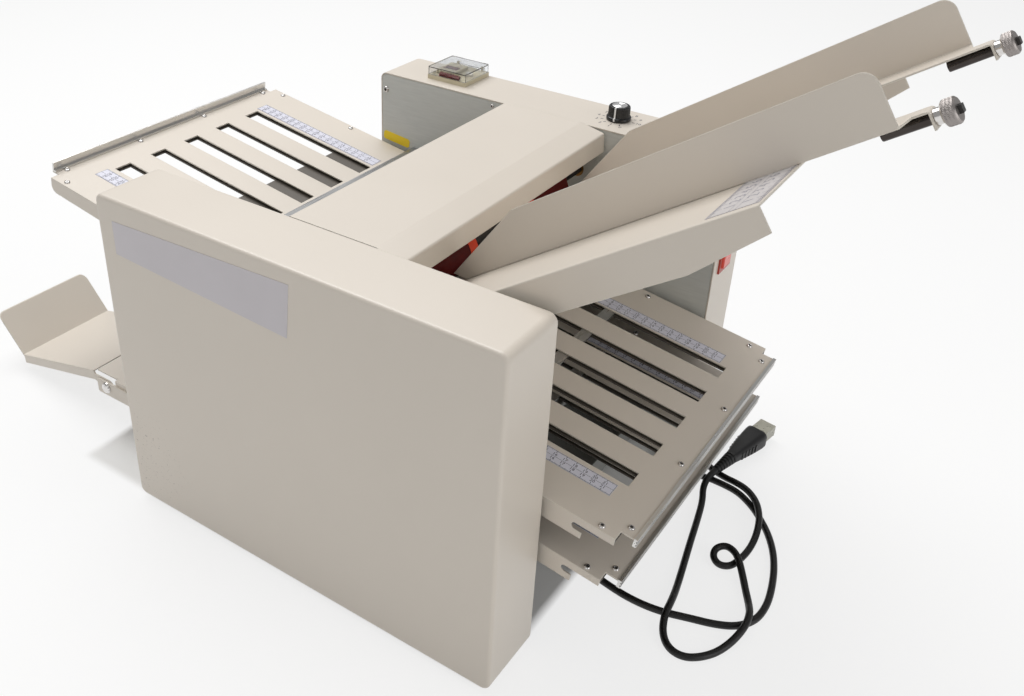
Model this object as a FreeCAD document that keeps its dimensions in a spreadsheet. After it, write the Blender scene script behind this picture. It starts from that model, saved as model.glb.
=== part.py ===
import FreeCAD, Part
import math
import os

import Sketcher
from FreeCAD import Placement, Rotation, Vector

# A desk machine that folds paper with six rollers and three fold plates.
# X runs along the machine towards the feed table, Y away from the front cover, Z up from the floor.

# Driving dimensions: millimetres and degrees, counts and shares.
SIZES = {
    # housing
    "clear_width": 354,
    "cover_left": -162,
    "cover_length": 432,
    "cover_height": 344,
    "cover_depth": 69,
    "rear_shift": 7.5,
    "rear_length": 434,
    "rear_height": 340.5,
    "cover_wall": 1.5,
    "cover_round": 8,
    "face_round": 3.5,
    "frame_sheet": 3,
    "seat_gap": 0.3,
    "running_gap": 0.05,
    "overrun": 2,
    # base and cross bars
    "foot_height": 6,
    "foot_radius": 12,
    "foot_taper": 2,
    "foot_inset": 24,
    "base_inset": 10,
    "base_length": 366,
    "base_edge": 25,
    "base_wall": 2,
    "bar_radius": 6,
    "rest_bar_width": 12.5,
    "rest_bar_height": 6,
    "rest_bar_gap": 1.7,
    "rest_bar_reach": 47.5,
    "stud_radius": 4,
    # feed table and guides, measured along the table from its foot
    "table_foot_x": 133.3,
    "table_foot_z": 292.6,
    "table_tilt": 34.491,
    "table_length": 320,
    "table_gap": 7.5,
    "table_edge": 31,
    "table_end_edge": 20,
    "table_taper": 67,
    "sheet_wall": 1.5,
    "guide_height": 42.7,
    "guide_rise_length": 90,
    "guide_nose": 11,
    "guide_nose_height": 9,
    "guide_overhang": 68,
    "guide_corner": 11,
    "guide_foot_width": 32,
    "near_guide_inset": 78.9,
    "far_guide_inset": 39.8,
    "near_strip": 83.5,
    "far_strip": 88.5,
    "strip_width": 15,
    "strip_taper": 4,
    "strip_bend": 3,
    "strip_tab": 11.7,
    "clamp_drop": 4.7,
    "clamp_inset": 24.6,
    "clamp_rod_radius": 4.4,
    "clamp_rod_length": 35.5,
    "clamp_neck_radius": 5.8,
    "clamp_neck_length": 4.9,
    "clamp_knob_radius": 9,
    "clamp_knob_length": 9.4,
    "clamp_knob_chamfer": 1,
    "clamp_end_width": 5.6,
    "clamp_end_length": 2.6,
    # hood
    "hood_left": 3,
    "hood_flat": 95,
    "hood_slope_run": 28,
    "hood_slope_drop": 6,
    "hood_lip_run": 1.5,
    "hood_lip_drop": 20,
    "hood_edge": 14,
    "hood_width": 349,
    "hood_drop": 1,
    "hood_bend": 2.5,
    "hinge_inset": 5,
    "hinge_drop": 7,
    "hinge_pin_radius": 3,
    "hinge_pin_inside": 4,
    # rollers
    "roller_x": -38,
    "roller_zigzag": 2.6,
    "top_roller_z": 250.5,
    "roller_radius": 13,
    "roller_end_gap": 5,
    "nip_gap": 0.5,
    "journal_radius": 6,
    "bush_radius": 9,
    "bush_proud": 1.5,
    "journal_end": 6,
    "feed_x": 96,
    "feed_tyre_radius": 20.5,
    "feed_shaft_radius": 12,
    "paper_room": 2.6,
    "feed_tyre_width": 12,
    "feed_tyre_y": 52,
    "side_tyre_width": 64,
    "tyre_gap": 0.5,
    # gears, pulleys and belts
    "gear_teeth": 20,
    "gear_width": 12,
    "gear_clearance": 4,
    "addendum_share": 0.85,
    "dedendum_share": 1.2,
    "tooth_mid_share": 0.43,
    "tooth_tip_share": 0.22,
    "tooth_root_share": 0.6,
    "pulley_gap": 4,
    "pulley_width": 12,
    "pulley_flange": 1.2,
    "pulley_flange_height": 2.4,
    "big_pulley_radius": 20,
    "feed_pulley_radius": 16,
    "motor_pulley_radius": 12,
    "hub_radius": 9,
    "belt_thickness": 1.5,
    "motor_x": 60,
    "motor_z": 66,
    "motor_radius": 31,
    "motor_length": 86,
    "motor_cap_radius": 26,
    "motor_cap_length": 6,
    "motor_shaft_radius": 4,
    "motor_shaft_inside": 14,
    "motor_hole_radius": 9,
    # feed deck
    "deck_drop": 1,
    "deck_start_gap": 2.3,
    "deck_bend_x": 80,
    "deck_end_x": -14,
    "deck_end_z": 242,
    "separator_gap": 0.4,
    "separator_length": 26,
    # paper deflector left of the rollers
    "deflector_radius": 18,
    "deflector_x": -60,
    # fold plates, measured along the plate from its reference point
    "paper_gap": 3,
    "plate_near": 170,
    "plate_far": 171,
    "left_plate_x": -62,
    "left_plate_z": 246.6,
    "left_plate_tilt": 8.748,
    "left_plate_in": 13,
    "left_plate_out": 287,
    "left_edge": 21,
    "left_end_edge": 16,
    "left_end_round": 8,
    "left_notch": 10,
    "upper_plate_x": 202.8,
    "upper_plate_z": 178.76,
    "upper_plate_in": 233,
    "upper_plate_out": 145,
    "lower_plate_x": 197.4,
    "lower_plate_z": 128.1,
    "lower_plate_in": 228,
    "lower_plate_out": 142,
    "right_plate_tilt": 8.452,
    "right_edge": 21,
    "tongue": 21,
    "under_inset": 9,
    "right_notch_length": 12,
    "right_notch_width": 11,
    "slot_count": 5,
    "slot_width": 21,
    "slot_pitch": 49.4,
    "left_slot_start": 72,
    "left_slot_end": 250,
    "left_under_slot_start": 128,
    "right_slot_start": -195,
    "right_slot_end": 114,
    "hook_centre": 98,
    "hook_depth": 11,
    "hook_radius": 3.5,
    "hook_tip": 105,
    "rail_thickness": 5,
    "right_rail_thickness": 3.2,
    "rail_height": 8.5,
    "rail_lift": 1.2,
    "rail_half_length": 160,
    "rail_groove": 0.9,
    "rail_groove_width": 1.6,
    "left_rail_height": 10,
    "left_rail_lip": 2,
    "stop_width": 12,
    "left_stop_place": 58,
    "right_stop_place": -25,
    # exit deck, bracket and tray
    "exit_z": 56,
    "exit_width": 128,
    "exit_left": -312,
    "exit_right": -62,
    "exit_edge": 11,
    "exit_ear_room": 34,
    "exit_notch_depth": 4,
    "bracket_sheet": 2.5,
    "bracket_left": -307,
    "bracket_right": -120,
    "bracket_low": 32,
    "bracket_high": 50,
    "pivot_x": -291,
    "pivot_z": 43,
    "pivot_radius": 3,
    "pivot_head_radius": 7,
    "pivot_head_height": 4,
    "tray_gap": 3,
    "tray_drop": 0.7,
    "tray_run": 136,
    "tray_fall": 33.3,
    "tray_end_run": 38.3,
    "tray_end_rise": 44,
    "tray_edge": 11,
    "tray_corner": 8,
    "tray_ear_radius": 8,
    # counter, knob and switch on the rear cover
    "counter_x": -87,
    "counter_y": 217,
    "counter_length": 52,
    "counter_width": 50,
    "counter_base": 5,
    "counter_block_length": 24,
    "counter_block_width": 30,
    "counter_block_height": 4,
    "counter_block_inset": 6,
    "counter_lid_height": 9,
    "counter_lid_wall": 1.2,
    "counter_lid_round": 2,
    "window_length": 18,
    "window_width": 10,
    "window_depth": 1,
    "window_inset": 8,
    "reset_x": 15,
    "reset_radius": 4,
    "reset_gap": 0.2,
    "reset_rise": 2.5,
    "reset_depth": 1.5,
    "reset_travel": 1,
    "barrel_radius": 1.5,
    "barrel_sink": 0.5,
    "barrel_length": 30,
    "barrel_pin_radius": 0.8,
    "barrel_ear": 3,
    "knob_x": 123,
    "knob_y": 212,
    "knob_skirt_radius": 11,
    "knob_skirt": 3.5,
    "knob_cap_radius": 9,
    "knob_cap": 12,
    "knob_stub_radius": 3,
    "knob_stub": 8,
    "knob_flutes": 12,
    "knob_flute_radius": 1.1,
    "switch_y": 204,
    "switch_z": 228,
    "rocker_radius": 10.5,
    "rocker_height": 15,
    "rocker_rise": 4,
    "rocker_depth": 6,
    "rocker_sink": 2,
    "rocker_pin_radius": 1,
    "rocker_pin": 1,
    "bezel_wall": 1.5,
    "bezel_flange": 3,
    "bezel_sheet": 2,
    "bezel_depth": 12,
    # power cord and plug
    "cord_radius": 3.5,
    "gland_y": -69,
    "gland_rise": 12,
    "gland_radius": 9,
    "gland_length": 12,
    "gland_nut": 4,
    "gland_neck_radius": 6,
    "plug_x": 317,
    "plug_y": 137,
    "plug_turn": 10,
    "relief_length": 28,
    "relief_radius": 7,
    "relief_end_radius": 4.5,
    "plug_length": 57,
    "plug_narrow": 14,
    "plug_wide": 29,
    "plug_low": 13,
    "plug_high": 25,
    "pin_cover_length": 24,
    "pin_cover_width": 19,
    "pin_cover_height": 13,
}

# Places of the round cross bars, as shares of the cover's length and height.
CROSS_BAR_SHARES = ((0.12, 0.535), (0.722, 0.157), (0.12, 0.092), (0.45, 0.64))

# Places of the studs along the table and the plates, as shares of their length.
TABLE_STUD_SHARES = (0.1, 0.3)
LEFT_STUD_SHARES = (0.13, 0.3)
RIGHT_STUD_SHARES = (0.14, 0.72)
RAIL_GROOVE_SHARES = (0.2, 0.6)

# The pivot screw's domed head, from its rim to its middle, as shares of its radius and height.
DOME_SHARES = ((1, 0), (0.95, 0.35), (0.8, 0.7), (0.5, 0.93), (0, 1))

# Each arc of the cord takes this share of its shorter run.
CORD_ARC_SHARE = 0.45

# The cord from the gland to the plug: points on the floor plan with the height of its axis.
CORD_ROUTE = (
    (246, -69.3, 17), (268, -70.5, 8), (292, -73, 3.5), (322, -77, 3.5), (350, -74.5, 3.5), (375, -66, 3.5),
    (398, -59, 3.5), (416, -49, 3.5), (427, -32, 3.5), (429, -9, 3.5), (425, 16, 3.5), (418, 42, 3.5),
    (408, 66, 3.5), (394, 88, 3.5), (376, 107.5, 3.5), (362, 119, 3.5), (347, 127.5, 3.5), (331, 130, 3.5),
    (311, 130.5, 3.5), (290, 126, 3.5), (270, 127, 3.5), (254, 137, 3.5), (249, 154, 3.5), (258, 168, 3.5),
    (274, 172, 3.5), (290, 164, 3.5), (306, 148, 3.5), (325, 142, 3.5), (341, 137, 7), (356, 129, 10.5),
    (369, 118, 11), (378, 104, 11), (384.5, 88, 10), (388, 70, 5), (388.5, 51, 3.5), (386, 33, 3.5),
    (381.5, 18.5, 3.5), (371.5, 13.5, 4), (363, 19, 6), (361.5, 29, 8.5), (369, 36, 11), (379, 33, 11.5),
    (387, 25, 11), (396, 13, 6.5), (406, -3, 3.5), (415, -19, 5), (421, -35, 11), (423, -50, 11),
    (420, -68, 7), (413, -86, 3.5), (403, -101, 3.5), (390, -111, 3.5), (375, -110, 3.5), (363, -98, 4),
    (357, -82, 10.5), (355.5, -64, 10.5), (351, -40, 4.5), (344, -8, 3.5), (336, 28, 3.5), (329, 62, 3.5),
    (322, 92, 3.5), (315, 108, 7.5), (314.5, 122, 12.4),
)

PLANE_NORMALS = {"XY_Plane": 1, "XZ_Plane": -1, "YZ_Plane": 1}
AXES = {"X": Vector(1, 0, 0), "Y": Vector(0, 1, 0), "Z": Vector(0, 0, 1)}
PARALLEL = 0.999
NEAR = 0.01
QUARTER = 90
FULL_TURN = 360


class Size:
    """A number together with the expression that works it out from the sheet."""

    def __init__(self, value, text):
        self.value = value
        self.text = text

    def __add__(self, other):
        other = size_of(other)
        return Size(self.value + other.value, f"({self.text} + {other.text})")

    def __radd__(self, other):
        return size_of(other) + self

    def __sub__(self, other):
        other = size_of(other)
        return Size(self.value - other.value, f"({self.text} - {other.text})")

    def __rsub__(self, other):
        return size_of(other) - self

    def __mul__(self, other):
        other = size_of(other)
        return Size(self.value * other.value, f"({self.text} * {other.text})")

    def __rmul__(self, other):
        return size_of(other) * self

    def __truediv__(self, other):
        other = size_of(other)
        return Size(self.value / other.value, f"({self.text} / {other.text})")

    def __neg__(self):
        return Size(-self.value, f"(0 - {self.text})")


def size_of(item):
    """A plain number becomes a Size, and a Size stays as it is."""
    return item if isinstance(item, Size) else Size(float(item), repr(float(item)))


def sine(angle):
    return Size(math.sin(math.radians(angle.value)), f"sin({angle.text})")


def cosine(angle):
    return Size(math.cos(math.radians(angle.value)), f"cos({angle.text})")


def tangent(angle):
    return Size(math.tan(math.radians(angle.value)), f"tan({angle.text})")


def root(item):
    return Size(math.sqrt(item.value), f"sqrt({item.text})")


class Sheet:
    """Each size of the sheet, read by its alias."""

    def __getattr__(self, alias):
        return Size(float(SIZES[alias]), f"Sizes.{alias}")


at = Sheet()
doc = FreeCAD.newDocument("FoldingMachine")
nodes = []
cuts = []


def fill_sheet():
    sheet = doc.addObject("Spreadsheet::Sheet", "Sizes")
    for row, (alias, value) in enumerate(SIZES.items(), start=1):
        sheet.set(f"A{row}", str(value))
        sheet.setAlias(f"A{row}", alias)
    doc.recompute()


def bind(item, **properties):
    """Tie each property of a document object to its size."""
    for name, value in properties.items():
        value = size_of(value)
        setattr(item, name, value.value)
        item.setExpression(name, value.text)


def place(item, base, axis=AXES["Z"], angle=0):
    """Put an object at a base point, turned about an axis, with both tied to the sheet."""
    base = [size_of(coordinate) for coordinate in base]
    angle = size_of(angle)
    item.Placement = Placement(Vector(*(c.value for c in base)), Rotation(axis, angle.value))
    for letter, coordinate in zip("xyz", base):
        item.setExpression(f".Placement.Base.{letter}", coordinate.text)
    if angle.value:
        item.setExpression(".Placement.Rotation.Angle", angle.text)
    return item


def node(label, item):
    """Name a finished sub-part, which is written to a file of that name."""
    item.Label = label
    nodes.append(item)
    return item


def box(low, high, name="block"):
    """A block between two corners."""
    item = doc.addObject("Part::Box", name)
    length, width, height = (size_of(b) - a for a, b in zip(low, high))
    bind(item, Length=length, Width=width, Height=height)
    return place(item, low)


def rod(along, radius, low, high, first, second, name="round"):
    """A cylinder along an axis from low to high, at the two other coordinates in X, Y, Z order."""
    item = doc.addObject("Part::Cylinder", name)
    bind(item, Radius=radius, Height=size_of(high) - low)
    if along == "X":
        return place(item, (low, first, second), AXES["Y"], QUARTER)
    if along == "Y":
        return place(item, (first, low, second), -AXES["X"], QUARTER)
    return place(item, (first, second, low))


def join(kind, field, members, name):
    item = doc.addObject(kind, name)
    setattr(item, field, list(members))
    return item


def fuse(*members, name="joined"):
    return join("Part::MultiFuse", "Shapes", members, name)


def common(*members, name="overlap"):
    return join("Part::MultiCommon", "Shapes", members, name)


def group(*members, name="set"):
    return join("Part::Compound", "Links", members, name)


def cut(base, *tools, name="cut"):
    item = doc.addObject("Part::Cut", name)
    item.Base = base
    item.Tool = tools[0] if len(tools) == 1 else fuse(*tools, name="tools")
    cuts.append((item, item.Base))
    return item


def runs_along(letter, edge):
    """Whether a straight edge is parallel to an axis."""
    run = edge.Vertexes[-1].Point - edge.Vertexes[0].Point
    return run.Length > NEAR and abs(run.normalize().dot(AXES[letter])) > PARALLEL


def lies_at(item, **coordinates):
    """Whether the middle of an edge or face has the given coordinates."""
    middle = item.CenterOfMass
    return all(abs(getattr(middle, letter) - size_of(value).value) < NEAR
               for letter, value in coordinates.items())


class Body:
    """A PartDesign body that is built feature by feature."""

    def __init__(self, name):
        self.item = doc.addObject("PartDesign::Body", name)

    def origin(self, role):
        return next(o for o in self.item.Origin.OriginFeatures if o.Role == role)

    def sketch(self, plane, level, shapes):
        """A sketch of polygons and circles on an origin plane, lifted to a level."""
        sketch = self.item.newObject("Sketcher::SketchObject", "outline")
        sketch.AttachmentSupport = [(self.origin(plane), "")]
        sketch.MapMode = "FlatFace"
        offset = PLANE_NORMALS[plane] * size_of(level)
        sketch.AttachmentOffset = Placement(Vector(0, 0, offset.value), Rotation())
        sketch.setExpression(".AttachmentOffset.Base.z", offset.text)
        for shape in shapes:
            if isinstance(shape, Round):
                draw_round(sketch, shape)
            else:
                draw_polygon(sketch, shape)
        return sketch

    def pad(self, plane, low, high, *shapes):
        """Material from the low to the high level along the plane's axis."""
        pad = self.item.newObject("PartDesign::Pad", "pad")
        pad.Profile = self.sketch(plane, low, shapes)
        pad.Reversed = PLANE_NORMALS[plane] < 0
        bind(pad, Length=size_of(high) - low)
        return pad

    def pocket(self, plane, low, high, *shapes):
        """A cut from the low to the high level along the plane's axis."""
        start = high if PLANE_NORMALS[plane] > 0 else low
        below = self.item.Tip
        pocket = self.item.newObject("PartDesign::Pocket", "pocket")
        pocket.Profile = self.sketch(plane, start, shapes)
        bind(pocket, Length=size_of(high) - low)
        cuts.append((pocket, below))
        return pocket

    def row(self, feature, axis, step, count):
        """Copies of a feature in a row along an origin axis."""
        row = self.item.newObject("PartDesign::LinearPattern", "row")
        row.Originals = [feature]
        row.Direction = (self.origin(axis), [""])
        row.Occurrences = int(count.value)
        row.setExpression("Occurrences", count.text)
        bind(row, Length=step * (count - 1))
        self.item.Tip = row
        return row

    def ring(self, feature, axis, count):
        """Copies of a feature all the way round an origin axis."""
        ring = self.item.newObject("PartDesign::PolarPattern", "ring")
        ring.Originals = [feature]
        ring.Axis = (self.origin(axis), [""])
        ring.Angle = FULL_TURN
        ring.Occurrences = int(count.value)
        ring.setExpression("Occurrences", count.text)
        self.item.Tip = ring
        return ring

    def round_edges(self, radius, wanted):
        """A fillet on the edges of the body that a test picks."""
        doc.recompute()
        tip = self.item.Tip
        names = [f"Edge{i}" for i, edge in enumerate(tip.Shape.Edges, start=1) if wanted(edge)]
        fillet = self.item.newObject("PartDesign::Fillet", "bend")
        fillet.Base = (tip, names)
        bind(fillet, Radius=radius)
        return fillet

    def shell(self, wall, opened):
        """A hollow with one wall thickness, open at the faces that a test picks."""
        doc.recompute()
        tip = self.item.Tip
        names = [f"Face{i}" for i, face in enumerate(tip.Shape.Faces, start=1) if opened(face)]
        shell = self.item.newObject("PartDesign::Thickness", "shell")
        shell.Base = (tip, names)
        shell.Reversed = True
        bind(shell, Value=wall)
        cuts.append((shell, tip))
        return shell


class Round:
    """A circle in a sketch."""

    def __init__(self, centre, radius):
        self.centre = centre
        self.radius = radius


def fix_point(sketch, geometry, end, point):
    """Tie a sketch point's two coordinates to their sizes."""
    for kind, coordinate in zip(("DistanceX", "DistanceY"), point):
        coordinate = size_of(coordinate)
        number = sketch.addConstraint(Sketcher.Constraint(kind, -1, 1, geometry, end, coordinate.value))
        sketch.setExpression(f"Constraints[{number}]", coordinate.text)


def draw_polygon(sketch, points):
    first = sketch.GeometryCount
    count = len(points)
    corners = [Vector(size_of(u).value, size_of(v).value, 0) for u, v in points]
    for number, corner in enumerate(corners):
        sketch.addGeometry(Part.LineSegment(corner, corners[(number + 1) % count]))
    for number in range(count):
        following = first + (number + 1) % count
        sketch.addConstraint(Sketcher.Constraint("Coincident", first + number, 2, following, 1))
    for number, point in enumerate(points):
        fix_point(sketch, first + number, 1, point)


def draw_round(sketch, shape):
    u, v = (size_of(c).value for c in shape.centre)
    number = sketch.addGeometry(Part.Circle(Vector(u, v, 0), AXES["Z"], shape.radius.value))
    fix_point(sketch, number, 3, shape.centre)
    radius = sketch.addConstraint(Sketcher.Constraint("Radius", number, shape.radius.value))
    sketch.setExpression(f"Constraints[{radius}]", shape.radius.text)


def turned(profile, base, axis=AXES["Z"], angle=0, name="turned"):
    """A turned piece: a profile of (radius, place) points revolved about the local Y axis."""
    body = Body(name)
    spin = body.item.newObject("PartDesign::Revolution", "revolve")
    sketch = body.sketch("XY_Plane", 0, [profile])
    spin.Profile = sketch
    spin.ReferenceAxis = (sketch, ["V_Axis"])
    spin.Angle = FULL_TURN
    return place(body.item, base, axis, angle)


def ring_profile(inner, outer, low, high):
    return [(inner, low), (outer, low), (outer, high), (inner, high)]


def rectangle(low_u, low_v, high_u, high_v):
    return [(low_u, low_v), (high_u, low_v), (high_u, high_v), (low_u, high_v)]


# Places that several pieces share.
half = at.clear_width / 2
table_side = half - at.table_gap
frame_face = half + at.frame_sheet
cover_right = at.cover_left + at.cover_length
cover_top = at.foot_height + at.cover_height
rear_left = at.cover_left - at.rear_shift
rear_right = rear_left + at.rear_length
rear_top = at.foot_height + at.rear_height
base_left = at.cover_left + at.base_inset
base_right = base_left + at.base_length
roller_span = at.roller_radius * 2 + at.nip_gap
roller_step = root(roller_span * roller_span - at.roller_zigzag * at.roller_zigzag * 4)
module = roller_span / at.gear_teeth
gear_high = -(frame_face + at.gear_clearance)
gear_low = gear_high - at.gear_width
pulley_high = gear_low - at.pulley_gap
pulley_low = pulley_high - at.pulley_width
near_edge = -at.plate_near
far_edge = at.plate_far
ROLLER_COUNT = 6
CORNER_STEPS = 5
HEXAGON = 6


def table_line(x):
    """Height of the feed table's surface, carried on past its foot, at a place along X."""
    return at.table_foot_z + (x - at.table_foot_x) * tangent(at.table_tilt)


feed_z = table_line(at.feed_x) + (at.feed_tyre_radius + at.paper_room) / cosine(at.table_tilt)


def roller_place(number):
    """Centre of a fold roller in X and Z: the column zigzags."""
    side = 1 if number % 2 == 0 else -1
    return at.roller_x + at.roller_zigzag * side, at.top_roller_z - roller_step * number


def shaft_places():
    return [roller_place(number) for number in range(ROLLER_COUNT)] + [(at.feed_x, feed_z)]


def rounded_block(name, low, high, radius, face_radius, face_y):
    """A block with its long edges rounded, and a tighter rounding about its face."""
    body = Body(name)
    body.pad("XZ_Plane", low[1], high[1], rectangle(low[0], low[2], high[0], high[2]))
    body.round_edges(radius, lambda edge: runs_along("Y", edge))
    body.round_edges(face_radius, lambda edge: lies_at(edge, y=face_y))
    return body.item


def cover(left, length, height, side):
    """A five-sided sheet-metal box with rounded edges, open towards the machine."""
    wall = at.cover_wall
    low = at.foot_height
    open_y = half * side
    outer_y = (half + at.cover_depth) * side
    inner_y = outer_y - wall * side
    low_y, high_y = sorted_levels(open_y, outer_y)
    outer = rounded_block("outside", (left, low_y, low), (left + length, high_y, low + height),
                          at.cover_round, at.face_round, outer_y)
    past_y = open_y - at.overrun * side
    low_y, high_y = sorted_levels(past_y, inner_y)
    inner = rounded_block("inside", (left + wall, low_y, low + wall),
                          (left + length - wall, high_y, low + height - wall),
                          at.cover_round - wall, at.face_round - wall, inner_y)
    return outer, inner


def make_covers():
    outer, inner = cover(at.cover_left, at.cover_length, at.cover_height, -1)
    node("front_cover", cut(outer, inner))
    outer, inner = cover(rear_left, at.rear_length, at.rear_height, 1)
    knob_hole = rod("Z", at.knob_stub_radius + at.running_gap, rear_top - at.cover_wall - at.overrun,
                    rear_top + at.overrun, at.knob_x, at.knob_y)
    wide = at.rocker_radius + at.seat_gap + at.bezel_wall + at.seat_gap
    tall = at.rocker_height / 2 + at.seat_gap + at.bezel_wall + at.seat_gap
    window = box((rear_right - at.cover_wall - at.overrun, at.switch_y - wide, at.switch_z - tall),
                 (rear_right + at.overrun, at.switch_y + wide, at.switch_z + tall))
    node("rear_cover", cut(outer, inner, knob_hole, window))


def side_frame(label, left, length, height, low_y, high_y, extra):
    """A plate inside a cover's open side, with the bearing holes and the hood's pin hole."""
    inset = at.cover_wall + at.seat_gap
    body = Body(label)
    low = at.foot_height
    body.pad("XZ_Plane", low_y, high_y,
             rectangle(left + inset, low + inset, left + length - inset, low + height - inset))
    body.round_edges(at.cover_round - at.cover_wall, lambda edge: runs_along("Y", edge))
    holes = [Round(centre, at.bush_radius) for centre in shaft_places()]
    holes.append(Round(hood_pin(), at.hinge_pin_radius + at.running_gap))
    body.pocket("XZ_Plane", low_y - at.overrun, high_y + at.overrun, *(holes + extra))
    return node(label, body.item)


def hood_pin():
    """Centre of the hood's hinge in X and Z."""
    return at.hood_left + at.hinge_inset, cover_top - at.hood_drop - at.hinge_drop


def make_frames():
    motor_hole = [Round((at.motor_x, at.motor_z), at.motor_hole_radius)]
    side_frame("front_side_frame", at.cover_left, at.cover_length, at.cover_height, -frame_face, -half,
               motor_hole)
    side_frame("rear_side_frame", rear_left, at.rear_length, at.rear_height, half, frame_face, [])


def make_base():
    """A tray with upturned edges between the side frames, on four rubber feet."""
    body = Body("base_plate")
    low = at.foot_height
    body.pad("XY_Plane", low, low + at.base_edge, rectangle(base_left, -half, base_right, half))
    body.shell(at.base_wall, lambda face: lies_at(face, z=low + at.base_edge))
    body.pocket("YZ_Plane", base_right - at.base_wall - at.overrun, base_right + at.overrun,
                Round((at.gland_y, low + at.gland_rise), at.gland_neck_radius))
    node("base_plate", body.item)
    feet = []
    for x in (base_left + at.foot_inset, base_right - at.foot_inset):
        for y in (at.foot_inset - half, half - at.foot_inset):
            foot = doc.addObject("Part::Cone", "foot")
            bind(foot, Radius1=at.foot_radius - at.foot_taper, Radius2=at.foot_radius, Height=at.foot_height)
            feet.append(place(foot, (x, y, 0)))
    node("rubber_feet", group(*feet))


def make_cross_bars():
    """Round bars between the side frames, and the flat rest bar above the left plate."""
    bars = []
    for x_share, z_share in CROSS_BAR_SHARES:
        x = at.cover_left + at.cover_length * x_share
        z = at.foot_height + at.cover_height * z_share
        bars.append(rod("Y", at.bar_radius, -half, half, x, z))
    left = at.left_plate_x - at.rest_bar_reach - at.rest_bar_width
    low = at.left_plate_z - (left - at.left_plate_x) * tangent(at.left_plate_tilt) + at.rest_bar_gap / 2
    bars.append(box((left, -half, low), (left + at.rest_bar_width, half, low + at.rest_bar_height)))
    node("cross_bars", group(*bars))


def on_table(item):
    """Move a piece from the table's own axes to its place: X up the slope, Z square to it."""
    return place(item, (at.table_foot_x, 0, at.table_foot_z), -AXES["Y"], at.table_tilt)


def make_feed_table():
    """A folded sheet with side flanges that taper towards the top end."""
    side = table_side
    wall = at.sheet_wall
    length = at.table_length
    body = Body("feed_table")
    taper = length - at.table_taper
    body.pad("XZ_Plane", -side, side,
             [(0, 0), (length, 0), (length, -at.table_end_edge), (taper, -at.table_edge),
              (0, -at.table_edge)])
    body.round_edges(at.sheet_wall, lambda edge: runs_along("X", edge) and lies_at(edge, z=0))
    deep = -(at.table_edge + at.overrun)
    body.pocket("XZ_Plane", wall - side, side - wall,
                rectangle(-at.overrun, deep, length + at.overrun, -wall))
    node("feed_table", on_table(body.item))


def guide(label, wall_y, inward, strip):
    """A tall side guide: wall, foot, and a narrow strip past its end that bends down to a tab."""
    wall = at.sheet_wall
    low = at.seat_gap
    end = at.table_length + at.guide_overhang
    strip_end = at.table_length + strip
    top = low + at.guide_height
    inner_y = wall_y + at.guide_foot_width * inward
    clamp_y = wall_y + at.clamp_inset * inward
    strip_near = clamp_y - at.strip_width / 2 * inward
    strip_far = clamp_y + at.strip_width / 2 * inward
    body = Body(label)
    body.pad("XZ_Plane", *sorted_levels(wall_y, wall_y + wall * inward),
             [(-low, low), (-at.guide_nose, at.guide_nose_height),
              (at.guide_rise_length - at.guide_nose, top), (end, top), (end, low)])
    body.round_edges(at.guide_corner, lambda edge: runs_along("Y", edge) and lies_at(edge, x=end, z=top))
    body.pad("XY_Plane", low, low + wall,
             [(-low, wall_y), (end, wall_y), (end + at.strip_taper, strip_near), (strip_end, strip_near),
              (strip_end, strip_far), (end, inner_y), (-low, inner_y)])
    body.pad("YZ_Plane", strip_end - wall, strip_end,
             rectangle(strip_near, low + wall, strip_far, -at.strip_tab))
    body.round_edges(at.strip_bend, lambda edge: runs_along("Y", edge)
                     and lies_at(edge, x=strip_end, z=low + wall))
    body.pocket("YZ_Plane", strip_end - wall - at.overrun, strip_end + at.overrun,
                Round((clamp_y, -at.clamp_drop), at.clamp_rod_radius + at.running_gap))
    return node(label, on_table(body.item))


def sorted_levels(first, second):
    return (first, second) if first.value < second.value else (second, first)


def clamp_knob(label, wall_y, inward, strip):
    """A screw with a neck, a round knob and a square end, through the guide's tab."""
    y = wall_y + at.clamp_inset * inward
    z = -at.clamp_drop
    tab = at.table_length + strip
    neck = tab + at.seat_gap
    knob = neck + at.clamp_neck_length
    knob_end = knob + at.clamp_knob_length
    edge = at.clamp_knob_chamfer
    radius = at.clamp_knob_radius
    profile = [(0, tab - at.clamp_rod_length), (at.clamp_rod_radius, tab - at.clamp_rod_length),
               (at.clamp_rod_radius, neck), (at.clamp_neck_radius, neck), (at.clamp_neck_radius, knob),
               (radius - edge, knob), (radius, knob + edge), (radius, knob_end - edge),
               (radius - edge, knob_end), (0, knob_end)]
    turned_part = turned(profile, (0, y, z), -AXES["Z"], QUARTER)
    flat = at.clamp_end_width / 2
    end = box((knob_end, y - flat, z - flat), (knob_end + at.clamp_end_length, y + flat, z + flat))
    node(label, on_table(fuse(turned_part, end)))


def make_guides():
    near_y = at.near_guide_inset - table_side
    far_y = table_side - at.far_guide_inset
    guide("near_guide", near_y, 1, at.near_strip)
    clamp_knob("near_clamp_knob", near_y, 1, at.near_strip)
    guide("far_guide", far_y, -1, at.far_strip)
    clamp_knob("far_clamp_knob", far_y, -1, at.far_strip)


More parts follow.
